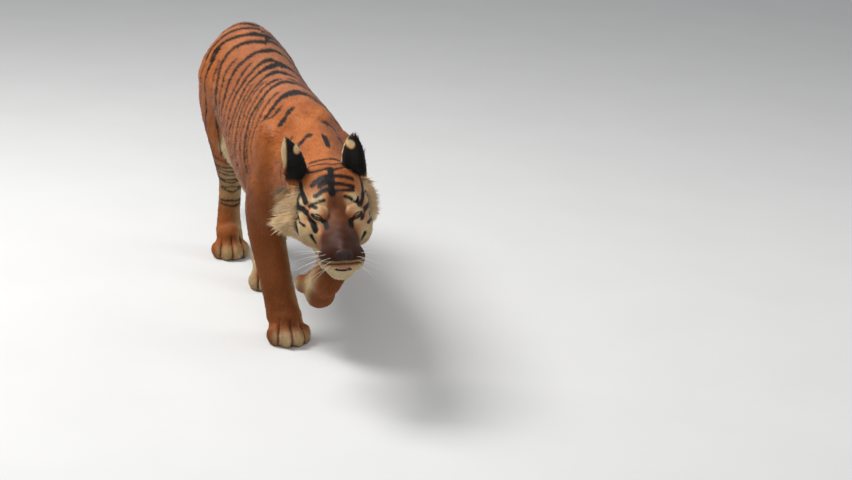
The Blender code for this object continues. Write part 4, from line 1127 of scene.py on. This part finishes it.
# ---- The cheek ruffs ----
# Long straight hair stands out from each cheek in a fringe, golden at the top and cream below.
RUFF_LOCKS = 5500
RUFF_REACH = (0.012, 0.075)  # the shortest and longest hair
for name, side in (("ruff_left", 1), ("ruff_right", -1)):
    rng = np.random.default_rng(40 + side)
    count = RUFF_LOCKS // 1
    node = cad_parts[name].data
    node.calc_loop_triangles()
    rows = np.array([t.vertices[:] for t in node.loop_triangles])
    spots = np.array([v.co[:] for v in node.vertices])
    a, b, c = (spots[rows[:, k]] for k in range(3))
    sizes = np.linalg.norm(np.cross(b - a, c - a), axis=1)
    picks = rng.choice(len(rows), count, p=sizes / sizes.sum())
    weights = rng.dirichlet((1, 1, 1), count)
    tips = (spots[rows[picks]] * weights[..., None]).sum(1)
    tips = tips.mean(0) + (tips - tips.mean(0)) * rng.uniform(0.55, 1.0, (count, 1))
    found = [face_tree.find_nearest(Vector(t) + Vector((-side * 0.010, -0.006, 0.006))) for t in tips]
    roots = np.array([hit[0][:] for hit in found])
    root_normals = np.array([hit[1][:] for hit in found])
    toward = tips - roots
    reach = np.linalg.norm(toward, axis=1)
    toward = unit(toward)
    rise = np.clip((toward * root_normals).sum(1), 0.05, 0.85)
    flat = unit(toward - root_normals * (toward * root_normals).sum(1)[:, None])
    height = np.clip((roots[:, 2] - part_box(name)[0].z) / (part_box(name)[1].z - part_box(name)[0].z), 0, 1)
    golden = np.clip(0.78 - 0.20 * height ** 2 + rng.normal(0, 0.08, count), 0, 1)
    long = np.clip(reach, *RUFF_REACH)
    under = [roots + flat * (long * share)[:, None] for share in (0.0, 0.0, 0.38, 0.8)]
    under = [np.array([face_tree.find_nearest(Vector(p))[0][:] for p in spot]) for spot in under]
    head_rank = np.full(count, node_names.index("head"))
    black = np.stack([black_hair(spot, root_normals, head_rank) for spot in under], 1) * [1, 1, 0.5, 0.0]
    marks = np.zeros((count, 4, 4))
    marks[:, :, 0], marks[:, :, 1] = black, golden[:, None]
    marks = marks.reshape(-1, 4)
    piece = set_coat("coat_" + name, roots, root_normals, flat, long, rise,
                     marks, None, 60 + side, False, 0.16, 1.0)
    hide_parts(name)

# ---- The whiskers ----
# Stiff cream bristles in rows on the whisker pads and a few over the eyes, tapering to nothing.
whisker_finish, tree, shader, place = new_finish("Whisker", 0.35, 0.5)
grain = noise_of(tree, place, 600.0, 2.0)
bristle = mixed(tree, grain, (0.62, 0.55, 0.45, 1), (0.80, 0.76, 0.68, 1))
tree.links.new(bristle, shader.inputs["Base Color"])
bm = bmesh.new()
rng = np.random.default_rng(7)
for side in (-1, 1):
    starts = [((30 + 5 * k, -138 + 12 * k, -72 - 8 * row),
               (0.75, -0.10 + 0.22 * k, -0.10 - 0.16 * row), 0.062 + 0.006 * k)
              for row in range(3) for k in range(4)]
    starts += [((42 + 4 * k, -6, 30), (0.35, -0.35 + 0.1 * k, 0.8), 0.032) for k in range(3)]
    for place_mm, heading, long in starts:
        wanted = from_head(np.array(place_mm) * [side, 1, 1] / 1000)
        spot = face_tree.find_nearest(Vector(wanted))[0]
        heading = from_head(np.array(heading) * [side, 1, 1]) - head_origin + rng.normal(0, 0.06, 3)
        heading = Vector(unit(heading))
        droop = Vector((0, 0.25, -0.35))
        ring_before = None
        for step in range(7):
            t = step / 6
            at = spot + heading * long * t + droop * long * t * t * 0.5
            radius = 0.00045 * (1 - t) + 0.00010
            frame_x = heading.orthogonal().normalized()
            frame_y = heading.cross(frame_x)
            ring_now = [bm.verts.new(at + (frame_x * math.cos(a) + frame_y * math.sin(a)) * radius)
                        for a in (0, 2.0944, 4.18879)]
            if ring_before:
                for k in range(3):
                    after = (k + 1) % 3
                    bm.faces.new((ring_before[k], ring_before[after], ring_now[after], ring_now[k]))
            else:
                bm.faces.new(ring_now[::-1])
            ring_before = ring_now
        bm.faces.new(ring_before)
whisker_mesh = bpy.data.meshes.new("whiskers")
bm.to_mesh(whisker_mesh)
bm.free()
whisker_mesh.materials.append(whisker_finish)
whiskers = bpy.data.objects.new("whiskers", whisker_mesh)
bpy.context.scene.collection.objects.link(whiskers)
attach(whiskers, "root")

# ---- The floor ----
# A plain pale studio floor, part of the setting.
floor_finish, tree, shader, place = new_finish("Floor", 0.9, 0.2)
tree.links.new(mixed(tree, noise_of(tree, place, 3.0), (0.60, 0.595, 0.58, 1), (0.64, 0.635, 0.62, 1)),
               shader.inputs["Base Color"])
floor_mesh = bpy.data.meshes.new("floor")
floor_mesh.from_pydata([(-30, -12, 0), (30, -12, 0), (30, 40, 0), (-30, 40, 0)], [], [(0, 1, 2, 3)])
floor_mesh.materials.append(floor_finish)
floor = bpy.data.objects.new("floor", floor_mesh)
bpy.context.scene.collection.objects.link(floor)

# ---- The lights ----
# A large soft light high behind its right shoulder, a softer one in front, and a pale room.
LAMPS = (  # name, place and width in metres, power in watts
    ("key", (-1.9, 0.6, 3.8), 1.7, 195), ("front", (-1.2, -5.0, 3.2), 2.6, 98),
    ("side", (4.2, -1.0, 2.6), 2.4, 42))
for name, place_at, size, power in LAMPS:
    light = bpy.data.lights.new(name, "AREA")
    light.size, light.energy = size, power
    lamp = bpy.data.objects.new(name, light)
    lamp.location = place_at
    lamp.rotation_euler = (Vector((0, -0.1, 0.4)) - Vector(place_at)).to_track_quat("-Z", "Y").to_euler()
    bpy.context.scene.collection.objects.link(lamp)
room = bpy.data.worlds.new("room")
room.use_nodes = True
room.node_tree.nodes["Background"].inputs["Color"].default_value = (0.93, 0.95, 1.0, 1)
room.node_tree.nodes["Background"].inputs["Strength"].default_value = 0.42
bpy.context.scene.world = room
bpy.context.scene.view_settings.view_transform = "Standard"

# ---- The camera ----
# It stands to the animal's right, a little above it, some six metres before it.
camera_data = bpy.data.cameras.new("camera")
camera_data.lens, camera_data.sensor_width = 91.156, 36
camera = bpy.data.objects.new("camera", camera_data)
camera.location = (-1.29427, -6.0784, 2.11917)
camera.rotation_euler = [math.radians(a) for a in (72.847, -2.924, -15.258)]
bpy.context.scene.collection.objects.link(camera)
bpy.context.scene.camera = camera
bpy.context.view_layer.update()
